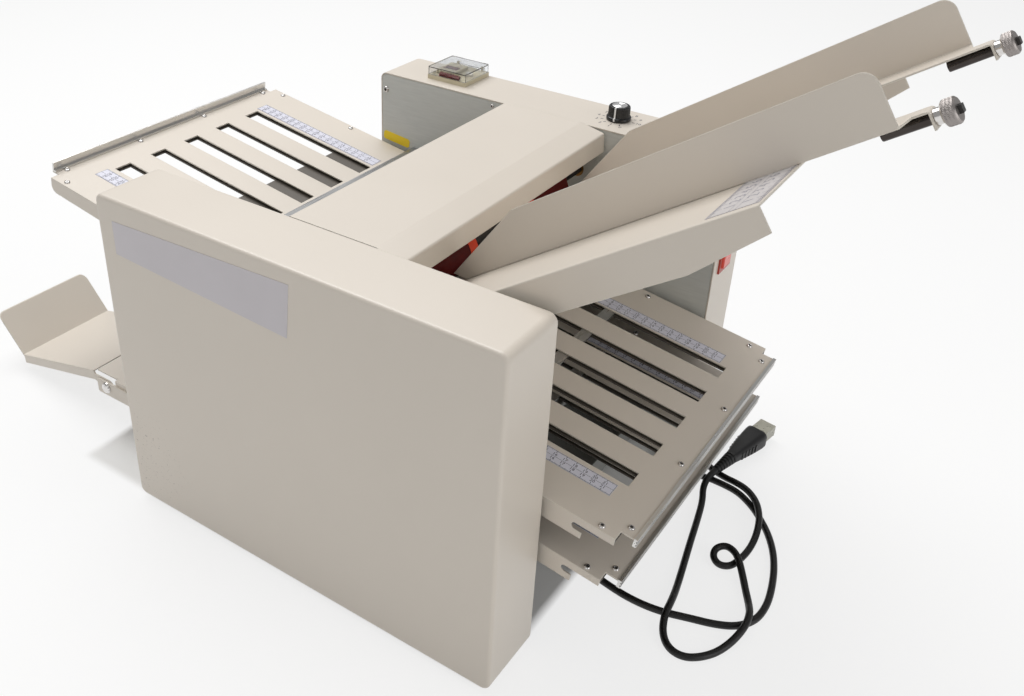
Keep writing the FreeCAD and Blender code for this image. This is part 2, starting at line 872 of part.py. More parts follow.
def make_hood():
    """A folded cover over the feed rollers, with a lip and side edges, on two hinge pins."""
    side = at.hood_width / 2
    wall = at.sheet_wall
    left = at.hood_left
    top = cover_top - at.hood_drop
    bend = left + at.hood_flat
    slope = bend + at.hood_slope_run
    slope_z = top - at.hood_slope_drop
    lip = slope + at.hood_lip_run
    lip_z = slope_z - at.hood_lip_drop
    body = Body("top_hood")
    body.pad("XZ_Plane", -side, side,
             [(left, top - at.hood_edge), (left, top), (bend, top), (slope, slope_z), (lip, lip_z)])
    body.round_edges(at.hood_bend, lambda edge: runs_along("Y", edge)
                     and (lies_at(edge, x=left, z=top) or lies_at(edge, x=slope, z=slope_z)))
    below = at.overrun + at.hood_lip_drop
    body.pocket("XZ_Plane", wall - side, side - wall,
                [(left + wall, top - at.hood_edge - below), (left + wall, top - wall), (bend, top - wall),
                 (slope - wall, slope_z - wall), (lip - wall, lip_z), (lip - wall, lip_z - at.overrun)])
    body.pocket("XZ_Plane", -half, half, Round(hood_pin(), at.hinge_pin_radius))
    node("top_hood", body.item)
    inside = side - at.hinge_pin_inside
    pins = [rod("Y", at.hinge_pin_radius, -frame_face, -inside, *hood_pin()),
            rod("Y", at.hinge_pin_radius, inside, frame_face, *hood_pin())]
    node("hood_pins", group(*pins))


def make_rollers():
    """Six turned fold rollers, with journals long enough for their gears and pulleys."""
    barrel = half - at.roller_end_gap
    far = frame_face + at.journal_end
    for number in range(ROLLER_COUNT):
        x, z = roller_place(number)
        near = pulley_low if number in (0, ROLLER_COUNT - 1) else gear_low
        profile = [(0, near), (at.journal_radius, near), (at.journal_radius, -barrel),
                   (at.roller_radius, -barrel), (at.roller_radius, barrel), (at.journal_radius, barrel),
                   (at.journal_radius, far), (0, far)]
        node(f"fold_roller_{number + 1}", turned(profile, (x, 0, z)))


def make_feed_shaft():
    """A stepped shaft above the paper, with two narrow tyres and two wide side tyres."""
    wide = at.feed_tyre_y + at.feed_tyre_width / 2 + at.tyre_gap * 2 + at.side_tyre_width
    near = pulley_low
    far = frame_face + at.journal_end
    profile = [(0, near), (at.journal_radius, near), (at.journal_radius, -wide),
               (at.feed_shaft_radius, -wide), (at.feed_shaft_radius, wide), (at.journal_radius, wide),
               (at.journal_radius, far), (0, far)]
    node("feed_shaft", turned(profile, (at.feed_x, 0, feed_z)))
    inner = at.feed_tyre_y - at.feed_tyre_width / 2
    outer = inner + at.feed_tyre_width
    side_inner = outer + at.tyre_gap
    node("feed_tyres", pair_of_tyres(inner, outer))
    node("side_tyres", pair_of_tyres(side_inner, side_inner + at.side_tyre_width))


def pair_of_tyres(inner, outer):
    tyres = [turned(ring_profile(at.feed_shaft_radius, at.feed_tyre_radius, low, high),
                    (at.feed_x, 0, feed_z))
             for low, high in ((-outer, -inner), (inner, outer))]
    return group(*tyres)


def make_bearings():
    """A plain bush in each frame for every shaft."""
    bushes = []
    for x, z in shaft_places():
        for side in (-1, 1):
            near, rim = half * side, (frame_face + at.bush_proud) * side
            bore = at.journal_radius + at.running_gap
            bushes.append(turned(ring_profile(bore, at.bush_radius, near, rim), (x, 0, z)))
    node("roller_bearings", group(*bushes))


def gear_turns():
    """Angle of one tooth of each gear, so that every gear meets the next one in mesh."""
    turns = [0.0]
    pitch = 2 * math.pi / at.gear_teeth.value
    for number in range(ROLLER_COUNT - 1):
        x, z = (c.value for c in roller_place(number))
        next_x, next_z = (c.value for c in roller_place(number + 1))
        towards = math.atan2(next_z - z, next_x - x)
        turns.append(2 * towards + math.pi - turns[-1] + pitch / 2)
    return [math.degrees(turn) for turn in turns]


def gear(number, turn):
    """A spur gear on a roller's journal; the first and last also carry a belt pulley."""
    x, z = roller_place(number)
    pitch_radius = roller_span / 2
    pitch = module * math.pi
    root_radius = pitch_radius - module * at.dedendum_share
    tip_radius = pitch_radius + module * at.addendum_share
    body = Body(f"gear_{number + 1}")
    hub = Round((0, 0), at.journal_radius)
    body.pad("XZ_Plane", gear_low, gear_high, Round((0, 0), root_radius), hub)
    rise = root_radius - module
    sides = [(rise, at.tooth_root_share), (root_radius, at.tooth_root_share),
             (pitch_radius, at.tooth_mid_share), (tip_radius, at.tooth_tip_share)]
    tooth = [(radius, pitch * share / 2) for radius, share in sides]
    tooth += [(radius, -(pitch * share / 2)) for radius, share in reversed(sides)]
    first = body.pad("XZ_Plane", gear_low, gear_high, tooth)
    body.ring(first, "Y_Axis", at.gear_teeth)
    if number in (0, ROLLER_COUNT - 1):
        radius = at.feed_pulley_radius if number == 0 else at.big_pulley_radius
        body.pad("XZ_Plane", pulley_high, gear_low, Round((0, 0), at.hub_radius), hub)
        add_pulley(body, radius, hub)
    place(body.item, (x, 0, z), -AXES["Y"], 0)
    body.item.Placement.Rotation = Rotation(-AXES["Y"], turn)
    node(f"fold_gear_{number + 1}", body.item)


def add_pulley(body, radius, bore):
    """A belt pulley with a rim on both sides."""
    rim = radius + at.pulley_flange_height
    body.pad("XZ_Plane", pulley_low, pulley_high, Round((0, 0), radius), bore)
    body.pad("XZ_Plane", pulley_low, pulley_low + at.pulley_flange, Round((0, 0), rim), bore)
    body.pad("XZ_Plane", pulley_high - at.pulley_flange, pulley_high, Round((0, 0), rim), bore)


def make_gears():
    for number, turn in enumerate(gear_turns()):
        gear(number, turn)


def make_drive():
    """Motor on the front frame, its pulley, the feed shaft's pulley and the two belts."""
    length = at.motor_length
    cap = length + at.motor_cap_length
    bore = at.motor_shaft_radius + at.running_gap
    inside = at.motor_shaft_inside
    profile = [(bore, -half), (at.motor_radius, -half), (at.motor_radius, length - half),
               (at.motor_cap_radius, length - half), (at.motor_cap_radius, cap - half), (0, cap - half),
               (0, inside + at.seat_gap - half), (bore, inside + at.seat_gap - half)]
    node("drive_motor", turned(profile, (at.motor_x, 0, at.motor_z)))
    driver = Body("motor_pulley")
    shaft = Round((0, 0), at.motor_shaft_radius)
    driver.pad("XZ_Plane", pulley_low, inside - half, shaft)
    rim = at.motor_pulley_radius + at.pulley_flange_height
    driver.pad("XZ_Plane", pulley_low, pulley_high, Round((0, 0), at.motor_pulley_radius))
    driver.pad("XZ_Plane", pulley_low, pulley_low + at.pulley_flange, Round((0, 0), rim))
    driver.pad("XZ_Plane", pulley_high - at.pulley_flange, pulley_high, Round((0, 0), rim))
    node("motor_pulley", place(driver.item, (at.motor_x, 0, at.motor_z)))
    feed = Body("feed_pulley")
    add_pulley(feed, at.feed_pulley_radius, Round((0, 0), at.journal_radius))
    node("feed_pulley", place(feed.item, (at.feed_x, 0, feed_z)))
    belts = Part.makeCompound([
        belt(roller_place(ROLLER_COUNT - 1), at.big_pulley_radius, (at.motor_x, at.motor_z),
             at.motor_pulley_radius),
        belt(roller_place(0), at.feed_pulley_radius, (at.feed_x, feed_z), at.feed_pulley_radius)])
    item = doc.addObject("Part::Feature", "belts")
    item.Shape = belts
    node("drive_belts", item)


def belt(first, first_radius, second, second_radius):
    """A flat closed belt round two pulleys, a running gap clear of them."""
    clear = at.seat_gap.value
    inner = [belt_face(first, first_radius.value + clear, second, second_radius.value + clear)]
    clear += at.belt_thickness.value
    outer = [belt_face(first, first_radius.value + clear, second, second_radius.value + clear)]
    width = (pulley_high - pulley_low - at.pulley_flange * 2 - at.seat_gap * 2).value
    loop = outer[0].cut(inner[0])
    return loop.extrude(AXES["Y"] * width)


def belt_face(first, first_radius, second, second_radius):
    """The area inside a belt's line: two arcs and the two outer tangents."""
    low = (pulley_low + at.pulley_flange + at.seat_gap).value
    a = Vector(first[0].value, low, first[1].value)
    b = Vector(second[0].value, low, second[1].value)
    along = (b - a).normalize()
    across = AXES["Y"].cross(along)
    lean = math.asin((first_radius - second_radius) / (b - a).Length)
    upper = across * math.cos(lean) + along * math.sin(lean)
    lower = -across * math.cos(lean) + along * math.sin(lean)
    start, end = a + upper * first_radius, b + upper * second_radius
    back, close = b + lower * second_radius, a + lower * first_radius
    wire = Part.Wire([Part.LineSegment(start, end).toShape(),
                      Part.Arc(end, b + along * second_radius, back).toShape(),
                      Part.LineSegment(back, close).toShape(),
                      Part.Arc(close, a - along * first_radius, start).toShape()])
    return Part.Face(wire)


def make_feed_deck():
    """The sheet that leads paper from the table's foot to the first nip, with rubber separator pads."""
    wall = at.sheet_wall
    start = at.table_foot_x - at.deck_start_gap
    start_z = table_line(start) - at.deck_drop
    bend = at.deck_bend_x
    bend_z = table_line(bend) - at.deck_drop
    body = Body("feed_deck")
    body.pad("XZ_Plane", -half, half,
             [(start, start_z), (bend, bend_z), (at.deck_end_x, at.deck_end_z),
              (at.deck_end_x, at.deck_end_z - wall), (bend, bend_z - wall), (start, start_z - wall)])
    node("feed_deck", body.item)
    thick = at.paper_room + at.deck_drop * cosine(at.table_tilt) - at.separator_gap
    middle = at.feed_tyre_radius + at.paper_room + at.deck_drop * cosine(at.table_tilt)
    reach = at.separator_length / 2
    pads = []
    for y in (-at.feed_tyre_y, at.feed_tyre_y):
        side = at.feed_tyre_width / 2
        pad = box((-reach, y - side, -middle), (reach, y + side, thick - middle))
        pads.append(pad)
    pads = group(*pads)
    node("separator_pads", place(pads, (at.feed_x, 0, feed_z), -AXES["Y"], at.table_tilt))


def make_deflector():
    """A curved sheet that turns the paper back into the rollers."""
    z = roller_place(2)[1] - roller_step / 2
    radius = at.deflector_radius
    x = at.deflector_x
    tube = cut(rod("Y", radius, -half, half, x, z),
               rod("Y", radius - at.sheet_wall, -half - at.overrun, half + at.overrun, x, z))
    left_side = box((x - radius - at.overrun, -half, z - radius - at.overrun),
                    (x, half, z + radius + at.overrun))
    node("paper_deflector", common(tube, left_side))


class Plate:
    """One fold plate: its place, its reach both ways and the side it points to."""

    def __init__(self, name, side, base, tilt, inner, outer, slots, under_slots, stop):
        self.name = name
        self.side = side
        self.base = base
        self.tilt = tilt
        self.inner = inner
        self.outer = outer
        self.slots = slots
        self.under_slots = under_slots
        self.stop = stop

    def put(self, item):
        return place(item, (self.base[0], 0, self.base[1]), AXES["Y"], self.tilt)

    def along(self, first, second):
        """Two places along the plate, in the order of X."""
        return (first, second) if self.side > 0 else (-second, -first)


left_plate = Plate("left", -1, (at.left_plate_x, at.left_plate_z), at.left_plate_tilt, -at.left_plate_in,
                   at.left_plate_out, (at.left_slot_start, at.left_slot_end),
                   (at.left_under_slot_start, at.left_slot_end), at.left_stop_place)
upper_plate = Plate("upper", 1, (at.upper_plate_x, at.upper_plate_z), at.right_plate_tilt, -at.upper_plate_in,
                    at.upper_plate_out, (at.right_slot_start, at.right_slot_end),
                    (at.right_slot_start, at.right_slot_end), at.right_stop_place)
lower_plate = Plate("lower", 1, (at.lower_plate_x, at.lower_plate_z), at.right_plate_tilt, -at.lower_plate_in,
                    at.lower_plate_out, (at.right_slot_start, at.right_slot_end),
                    (at.right_slot_start, at.right_slot_end), at.right_stop_place)
PLATES = (left_plate, upper_plate, lower_plate)


def cut_slots(body, plate, slots, low, high):
    """A row of long windows across the sheet."""
    half_row = at.slot_pitch * (at.slot_count - 1) / 2
    first, last = plate.along(*slots)
    start = -half_row - at.slot_width / 2
    slot = body.pocket("XY_Plane", low, high, rectangle(first, start, last, start + at.slot_width))
    body.row(slot, "Y_Axis", at.slot_pitch, at.slot_count)


def plate_outline(plate):
    """The top sheet seen from above, with a notch at both outer corners."""
    side = plate.side
    notch = at.left_notch if side < 0 else at.right_notch_length
    width = at.left_notch if side < 0 else at.right_notch_width
    inner, outer = plate.inner * side, plate.outer * side
    shoulder = (plate.outer - notch) * side
    return [(inner, near_edge), (shoulder, near_edge), (shoulder, near_edge + width),
            (outer, near_edge + width), (outer, far_edge - width), (shoulder, far_edge - width),
            (shoulder, far_edge), (inner, far_edge)]


def edge_outline(plate):
    """The side flange: straight with a round corner on the left, with a hook on the right."""
    side = plate.side
    start = (plate.inner + at.tongue) * side
    if side < 0:
        end = (plate.outer - at.left_notch) * side
        return [(start, 0), (end, 0), (end, -at.left_end_edge), (start, -at.left_edge)]
    end = plate.outer - at.right_notch_length
    upper = at.hook_radius - at.hook_depth
    lower = -at.hook_radius - at.hook_depth
    return [(start, 0), (end, 0), (end, upper), (at.hook_centre, upper), (at.hook_centre, lower),
            (at.hook_tip, lower), (at.hook_tip, -at.right_edge), (start, -at.right_edge)]


def make_top_sheet(plate):
    """The slotted top sheet with a flange along both sides."""
    wall = at.sheet_wall
    body = Body(f"{plate.name}_fold_plate")
    body.pad("XY_Plane", -wall, 0, plate_outline(plate))
    cut_slots(body, plate, plate.slots, -wall - at.overrun, at.overrun)
    for low, high in ((near_edge, near_edge + wall), (far_edge - wall, far_edge)):
        body.pad("XZ_Plane", low, high, edge_outline(plate))
    if plate.side > 0:
        body.pocket("XZ_Plane", near_edge - at.overrun, far_edge + at.overrun,
                    Round((at.hook_centre, -at.hook_depth), at.hook_radius))
    else:
        end = at.left_notch - plate.outer
        body.round_edges(at.left_end_round, lambda edge: runs_along("Y", edge)
                         and lies_at(edge, x=end, z=-at.left_end_edge))
    node(f"{plate.name}_fold_plate", plate.put(body.item))


def under_sheet(plate):
    """The slotted sheet below the paper gap, between the flanges."""
    high = -(at.sheet_wall + at.paper_gap)
    low = high - at.sheet_wall
    end = plate.outer - (at.left_notch if plate.side < 0 else at.right_notch_length)
    first, last = plate.along(plate.inner + at.under_inset, end)
    body = Body(f"{plate.name}_under")
    body.pad("XY_Plane", low, high,
             rectangle(first, near_edge + at.sheet_wall, last, far_edge - at.sheet_wall))
    cut_slots(body, plate, plate.under_slots, low - at.overrun, high + at.overrun)
    return plate.put(body.item)


def end_rail(plate):
    """The aluminium strip at the plate's outer end: upright on the left, grooved on the right."""
    body = Body(f"{plate.name}_rail")
    span = at.rail_half_length
    thick = at.rail_thickness
    if plate.side < 0:
        outer = -plate.outer
        lip = at.left_rail_lip
        body.pad("XZ_Plane", -span, span,
                 [(outer, 0), (outer + thick, 0), (outer + thick, lip), (outer + lip, lip),
                  (outer + lip, at.left_rail_height), (outer, at.left_rail_height)])
        return plate.put(body.item)
    inner, outer = plate.outer, plate.outer + at.right_rail_thickness
    top = at.rail_lift
    low = top - at.rail_height
    deep = outer - at.rail_groove
    profile = [(inner, low), (outer, low)]
    for share in RAIL_GROOVE_SHARES:
        groove_low = low + at.rail_height * share
        groove_high = groove_low + at.rail_groove_width
        profile += [(outer, groove_low), (deep, groove_low), (deep, groove_high), (outer, groove_high)]
    body.pad("XZ_Plane", -span, span, profile + [(outer, top), (inner, top)])
    return plate.put(body.item)


def paper_stop(plate):
    """The bar in the paper gap that sets the fold length."""
    high = -(at.sheet_wall + at.seat_gap)
    low = at.seat_gap - at.sheet_wall - at.paper_gap
    side_gap = at.sheet_wall + at.seat_gap
    first, last = plate.along(plate.stop, plate.stop + at.stop_width)
    bar = box((first, near_edge + side_gap, low), (last, far_edge - side_gap, high))
    node(f"{plate.name}_paper_stop", plate.put(group(bar)))


def make_plates():
    for plate in PLATES:
        make_top_sheet(plate)
        paper_stop(plate)
    node("under_sheets", group(*(under_sheet(plate) for plate in PLATES)))
    node("end_rails", group(*(end_rail(plate) for plate in PLATES)))


def stud(low, high, x, z):
    """A hexagonal stud along Y."""
    item = doc.addObject("Part::Prism", "stud")
    bind(item, Circumradius=at.stud_radius, Height=high - low)
    item.Polygon = HEXAGON
    return place(item, (x, low, z), -AXES["X"], QUARTER)


def make_studs():
    """Studs that hold the table's and the plates' flanges to the side frames."""
    studs = []
    for share in TABLE_STUD_SHARES:
        along = at.table_length * share
        depth = at.table_edge / 2
        x = at.table_foot_x + along * cosine(at.table_tilt) + depth * sine(at.table_tilt)
        z = at.table_foot_z + along * sine(at.table_tilt) - depth * cosine(at.table_tilt)
        studs += [stud(-half, -table_side, x, z), stud(table_side, half, x, z)]
    for plate in PLATES:
        shares = LEFT_STUD_SHARES if plate.side < 0 else RIGHT_STUD_SHARES
        depth = (at.left_end_edge if plate.side < 0 else at.right_edge) / 2
        for share in shares:
            along = (plate.inner + (plate.outer - plate.inner) * share) * plate.side
            x = plate.base[0] + along * cosine(plate.tilt) - depth * sine(plate.tilt)
            z = plate.base[1] - along * sine(plate.tilt) - depth * cosine(plate.tilt)
            studs += [stud(-half, near_edge, x, z), stud(far_edge, half, x, z)]
    node("frame_studs", group(*studs))


bracket_face = -half + at.bracket_sheet
exit_far = bracket_face + at.exit_width


def make_exit_deck():
    """The flat deck under the last nip, with a side flange and a notch for the tray's ear."""
    wall = at.sheet_wall
    body = Body("exit_deck")
    flange_left = at.exit_left + at.exit_ear_room
    notch_y = bracket_face + at.exit_notch_depth
    body.pad("XY_Plane", at.exit_z - wall, at.exit_z,
             [(at.exit_left, notch_y), (flange_left, notch_y), (flange_left, bracket_face),
              (at.exit_right, bracket_face), (at.exit_right, exit_far), (at.exit_left, exit_far)])
    body.pad("XZ_Plane", bracket_face, bracket_face + wall,
             rectangle(flange_left, at.exit_z - at.exit_edge, at.exit_right, at.exit_z))
    node("exit_deck", body.item)


def make_exit_bracket():
    """An arm on the front frame that carries the deck, with the tray's pivot screw."""
    body = Body("bracket_arm")
    body.pad("XZ_Plane", -half, bracket_face,
             rectangle(at.bracket_left, at.bracket_low, at.bracket_right, at.bracket_high))
    body.round_edges(at.bracket_sheet, lambda edge: runs_along("Y", edge)
                     and edge.CenterOfMass.x < at.pivot_x.value)
    inner = bracket_face + at.seat_gap * 2 + at.sheet_wall
    pin = rod("Y", at.pivot_radius, -half, inner, at.pivot_x, at.pivot_z)
    head_radius = at.pivot_head_radius
    dome = [(head_radius * radius_share, -half - at.pivot_head_height * height_share)
            for radius_share, height_share in DOME_SHARES]
    head = turned([(0, -half)] + dome, (at.pivot_x, 0, at.pivot_z))
    node("exit_bracket", fuse(body.item, pin, head))


def corner_waste(y, z, side, radius):
    """What a round corner takes off: the corner itself and a quarter circle inside it."""
    points = [(y - at.overrun * side, z + at.overrun), (y - at.overrun * side, z - radius)]
    for step in range(CORNER_STEPS + 1):
        angle = math.pi / 2 * step / CORNER_STEPS
        points.append((y + (radius - radius * math.cos(angle)) * side, z - radius + radius * math.sin(angle)))
    points.append((y + radius * side, z + at.overrun))
    return points


def make_exit_tray():
    """The tilting tray: a sloping sheet, an upturned end and a side flange with the pivot ear."""
    wall = at.sheet_wall
    near = bracket_face + at.seat_gap
    right = at.exit_left - at.tray_gap
    top = at.exit_z - at.tray_drop
    bend_x, bend_z = right - at.tray_run, top - at.tray_fall
    end_x, end_z = bend_x - at.tray_end_run, bend_z + at.tray_end_rise
    body = Body("exit_tray")
    body.pad("XZ_Plane", near, exit_far,
             [(right, top), (bend_x, bend_z), (end_x, end_z), (end_x - wall, end_z),
              (bend_x - wall / 2, bend_z - wall), (right, top - wall)])
    for y, side in ((near, 1), (exit_far, -1)):
        body.pocket("YZ_Plane", end_x - wall - at.overrun, end_x + at.tray_end_run / 2,
                    corner_waste(y, end_z, side, at.tray_corner))
    ear = at.tray_ear_radius
    body.pad("XZ_Plane", near, near + wall,
             [(right, top - wall / 2), (bend_x, bend_z - wall / 2), (bend_x + wall, bend_z - at.tray_edge),
              (right, top - at.tray_edge - wall), (at.pivot_x, at.pivot_z - ear),
              (at.pivot_x, at.pivot_z + ear), (right + wall, at.pivot_z + ear)])
    body.pad("XZ_Plane", near, near + wall, Round((at.pivot_x, at.pivot_z), ear))
    body.pocket("XZ_Plane", near - at.overrun, near + wall + at.overrun,
                Round((at.pivot_x, at.pivot_z), at.pivot_radius + at.running_gap))
    node("exit_tray", body.item)


def make_counter():
    """The sheet counter on the rear cover: case with window and button, under a hinged clear lid."""
    left = at.counter_x - at.counter_length / 2
    right = left + at.counter_length
    front = at.counter_y - at.counter_width / 2
    back = front + at.counter_width
    top = rear_top + at.counter_base
    hinge_y = back + at.barrel_radius - at.barrel_sink
    hinge_z = top + at.seat_gap + at.barrel_radius
    barrel = at.barrel_length / 2
    ear_inner = barrel + at.seat_gap
    ear_outer = barrel + at.barrel_ear
    base = box((left, front, rear_top), (right, back, top))
    block_left = left + at.counter_block_inset
    block_front = at.counter_y - at.counter_block_width / 2
    block = box((block_left, block_front, top),
                (block_left + at.counter_block_length, block_front + at.counter_block_width,
                 top + at.counter_block_height))
    ears = []
    for low, high in ((-ear_outer, -ear_inner), (ear_inner, ear_outer)):
        ears.append(box((at.counter_x + low, back - at.barrel_radius, rear_top),
                        (at.counter_x + high, hinge_y + at.barrel_radius, hinge_z + at.barrel_radius)))
    window_left = block_left + (at.counter_block_length - at.window_length) / 2
    window_low = (window_left, block_front + at.window_inset)
    window = box((*window_low, top + at.counter_block_height - at.window_depth),
                 (window_low[0] + at.window_length, window_low[1] + at.window_width,
                  top + at.counter_block_height))
    recess = box((*window_low, top + at.counter_block_height - at.window_depth),
                 (window_low[0] + at.window_length, window_low[1] + at.window_width,
                  top + at.counter_block_height + at.overrun))
    button_x = at.counter_x + at.reset_x
    hole_low = top - at.reset_depth - at.reset_travel
    hole = rod("Z", at.reset_radius + at.reset_gap, hole_low, top + at.overrun, button_x, at.counter_y)
    pin_hole = rod("X", at.barrel_pin_radius + at.running_gap, left, right, hinge_y, hinge_z)
    node("counter_case", cut(fuse(base, block, *ears), recess, hole, pin_hole))
    node("counter_window", group(window))
    button = rod("Z", at.reset_radius, top - at.reset_depth, top + at.reset_rise, button_x, at.counter_y)
    node("reset_button", group(button))
    lid = Body("lid_shell")
    low = top + at.seat_gap
    lid.pad("XY_Plane", low, low + at.counter_lid_height, rectangle(left, front, right, back))
    lid.round_edges(at.counter_lid_round, lambda edge: runs_along("Z", edge))
    lid.shell(at.counter_lid_wall, lambda face: lies_at(face, z=low))
    notches = [box((at.counter_x + a, back - at.barrel_radius - at.overrun, low - at.overrun),
                   (at.counter_x + b, back + at.overrun, hinge_z + at.barrel_radius + at.seat_gap))
               for a, b in ((-ear_outer - at.seat_gap, -barrel), (barrel, ear_outer + at.seat_gap))]
    pivot = rod("X", at.barrel_radius, at.counter_x - barrel, at.counter_x + barrel, hinge_y, hinge_z)
    pin = rod("X", at.barrel_pin_radius, at.counter_x - ear_outer, at.counter_x + ear_outer,
              hinge_y, hinge_z)
    node("counter_lid", fuse(cut(lid.item, *notches), pivot, pin))


def make_speed_knob():
    """A fluted knob with a skirt, on a stub through the cover's top."""
    low = at.seat_gap
    cap = low + at.knob_skirt
    top = cap + at.knob_cap
    body = Body("speed_knob")
    body.pad("XY_Plane", low, cap, Round((0, 0), at.knob_skirt_radius))
    body.pad("XY_Plane", cap, top, Round((0, 0), at.knob_cap_radius))
    flute = body.pocket("XY_Plane", cap, top + at.overrun,
                        Round((at.knob_cap_radius, 0), at.knob_flute_radius))
    body.ring(flute, "Z_Axis", at.knob_flutes)
    stub = body.pad("XY_Plane", -at.knob_stub, low, Round((0, 0), at.knob_stub_radius))
    body.item.Tip = stub
    node("speed_knob", place(body.item, (at.knob_x, at.knob_y, rear_top)))


def make_switch():
    """A red rocker in a bezel, in the right wall of the rear cover."""
    y, z = at.switch_y, at.switch_z
    face = rear_right + at.bezel_sheet
    wide = at.rocker_radius + at.seat_gap
    tall = at.rocker_height / 2 + at.seat_gap
    wall = at.bezel_wall
    rim = wall + at.bezel_flange
    tube = box((rear_right - at.bezel_depth, y - wide - wall, z - tall - wall),
               (face, y + wide + wall, z + tall + wall))
    flange = box((rear_right, y - wide - rim, z - tall - rim), (face, y + wide + rim, z + tall + rim))
    opening = box((rear_right - at.bezel_depth - at.overrun, y - wide, z - tall),
                  (face + at.overrun, y + wide, z + tall))
    pivot_x = rear_right - at.rocker_sink
    pin_reach = at.rocker_height / 2 + at.seat_gap + at.rocker_pin
    pin_hole = rod("Z", at.rocker_pin_radius + at.running_gap, z - pin_reach, z + pin_reach, pivot_x, y)
    node("switch_bezel", cut(fuse(tube, flange), opening, pin_hole))
    drum = rod("Z", at.rocker_radius, z - at.rocker_height / 2, z + at.rocker_height / 2, pivot_x, y)
    slab = box((pivot_x - at.rocker_depth, y - wide, z - tall),
               (pivot_x + at.rocker_sink + at.rocker_rise, y + wide, z + tall))
    pin = rod("Z", at.rocker_pin_radius, z - pin_reach, z + pin_reach, pivot_x, y)
    node("power_rocker", fuse(common(drum, slab), pin))


def make_gland():
    """The cord's gland in the base plate's end edge."""
    z = at.foot_height + at.gland_rise
    inside = base_right - at.base_wall - at.gland_nut
    bore = at.cord_radius
    profile = [(bore, inside), (at.gland_radius, inside), (at.gland_radius, inside + at.gland_nut),
               (at.gland_neck_radius, inside + at.gland_nut), (at.gland_neck_radius, base_right),
               (at.gland_radius, base_right), (at.gland_radius, base_right + at.gland_length),
               (bore, base_right + at.gland_length)]
    node("cord_gland", turned(profile, (0, at.gland_y, z), -AXES["Z"], QUARTER))


def plug_frame(item):
    """Move a piece from the plug's own axes, Y towards its pins, to its place on the floor."""
    return place(item, (at.plug_x, at.plug_y, at.plug_high / 2), -AXES["Z"], at.plug_turn)


def make_plug():
    """Strain relief, flaring body and the pale cover on the pins."""
    relief = turned([(0, 0), (at.relief_end_radius, 0), (at.relief_radius, at.relief_length),
                     (0, at.relief_length)], (0, 0, 0))
    start = at.relief_length
    end = start + at.plug_length
    flare = doc.addObject("Part::Wedge", "flare")
    bind(flare, Xmin=-(at.plug_narrow / 2), Xmax=at.plug_narrow / 2, Zmin=-(at.plug_low / 2),
         Zmax=at.plug_low / 2, Ymin=start, Ymax=end, X2min=-(at.plug_wide / 2), X2max=at.plug_wide / 2,
         Z2min=-(at.plug_high / 2), Z2max=at.plug_high / 2)
    node("power_plug", plug_frame(fuse(relief, flare)))
    wide, high = at.pin_cover_width / 2, at.pin_cover_height / 2
    cover_box = box((-wide, end, -high), (wide, end + at.pin_cover_length, high))
    node("plug_pin_cover", plug_frame(group(cover_box)))


def cord_points():
    """The route, from the gland's mouth to the end of the plug's strain relief."""
    start = Vector((base_right + at.gland_length).value, at.gland_y.value,
                   (at.foot_height + at.gland_rise).value)
    end = Vector(at.plug_x.value, at.plug_y.value, (at.plug_high / 2).value)
    return [start] + [Vector(*point) for point in CORD_ROUTE] + [end]


def cord_wire(points):
    """Straight runs joined by tangent arcs, each as large as its two runs allow."""
    edges = []
    radii = []
    last = points[0]
    for before, corner, after in zip(points, points[1:], points[2:]):
        back, ahead = before - corner, after - corner
        reach = CORD_ARC_SHARE * min(back.Length, ahead.Length)
        back.normalize()
        ahead.normalize()
        half_turn = (math.pi - back.getAngle(ahead)) / 2
        radius = reach / math.tan(half_turn)
        radii.append(radius)
        start, end = corner + back * reach, corner + ahead * reach
        inward = (back + ahead).normalize()
        middle = corner + inward * (radius / math.cos(half_turn) - radius)
        edges.append(Part.LineSegment(last, start).toShape())
        edges.append(Part.Arc(start, middle, end).toShape())
        last = end
    edges.append(Part.LineSegment(last, points[-1]).toShape())
    return Part.Wire(edges), radii


def make_cord():
    """The power cord, one round tube along its route on the floor."""
    points = cord_points()
    wire, radii = cord_wire(points)
    radius = at.cord_radius.value
    circle = Part.Circle(points[0], points[1] - points[0], radius)
    tube = wire.makePipeShell([Part.Wire([circle.toShape()])], True, False)
    share = tube.Volume / (math.pi * radius * radius * wire.Length)
    print("cord length", round(wire.Length), "volume share", round(share, 4), "smallest radii",
          [round(item, 1) for item in sorted(radii)[:8]])
    item = doc.addObject("Part::Feature", "cord")
    item.Shape = tube
    node("power_cord", item)


def check_and_write():
    """Stop at any failed object, then write every sub-part."""
    doc.recompute()
    failed = [item.Name for item in doc.Objects if {"Invalid", "Error"} & set(item.State)]
    if failed:
        raise RuntimeError(f"failed objects: {failed}")
    idle = [item.Name for item, base in cuts if item.Shape.Volume > base.Shape.Volume - NEAR]
    if idle:
        raise RuntimeError(f"cuts that remove nothing: {idle}")
    for item in nodes:
        if item.Shape.isNull() or not item.Shape.isValid():
            raise RuntimeError(f"bad shape: {item.Label}")
    os.makedirs("parts", exist_ok=True)
    for item in nodes:
        item.Shape.exportStep(f"parts/{item.Label}.step")
    print(len(nodes), "sub-parts")


def main():
    fill_sheet()
    make_covers()
    make_frames()
    make_base()
    make_cross_bars()
    make_feed_table()
    make_guides()
    make_hood()
    make_rollers()
    make_feed_shaft()
    make_bearings()
    make_gears()
    make_drive()
    make_feed_deck()
    make_deflector()
    make_plates()
    make_studs()
    make_exit_deck()
    make_exit_bracket()
    make_exit_tray()
    make_counter()
    make_speed_knob()
    make_switch()
    make_gland()
    make_plug()
    make_cord()
    check_and_write()


main()
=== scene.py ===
"""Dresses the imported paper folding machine: paint, rulers, labels, screws, knobs, cord and stage."""

import math

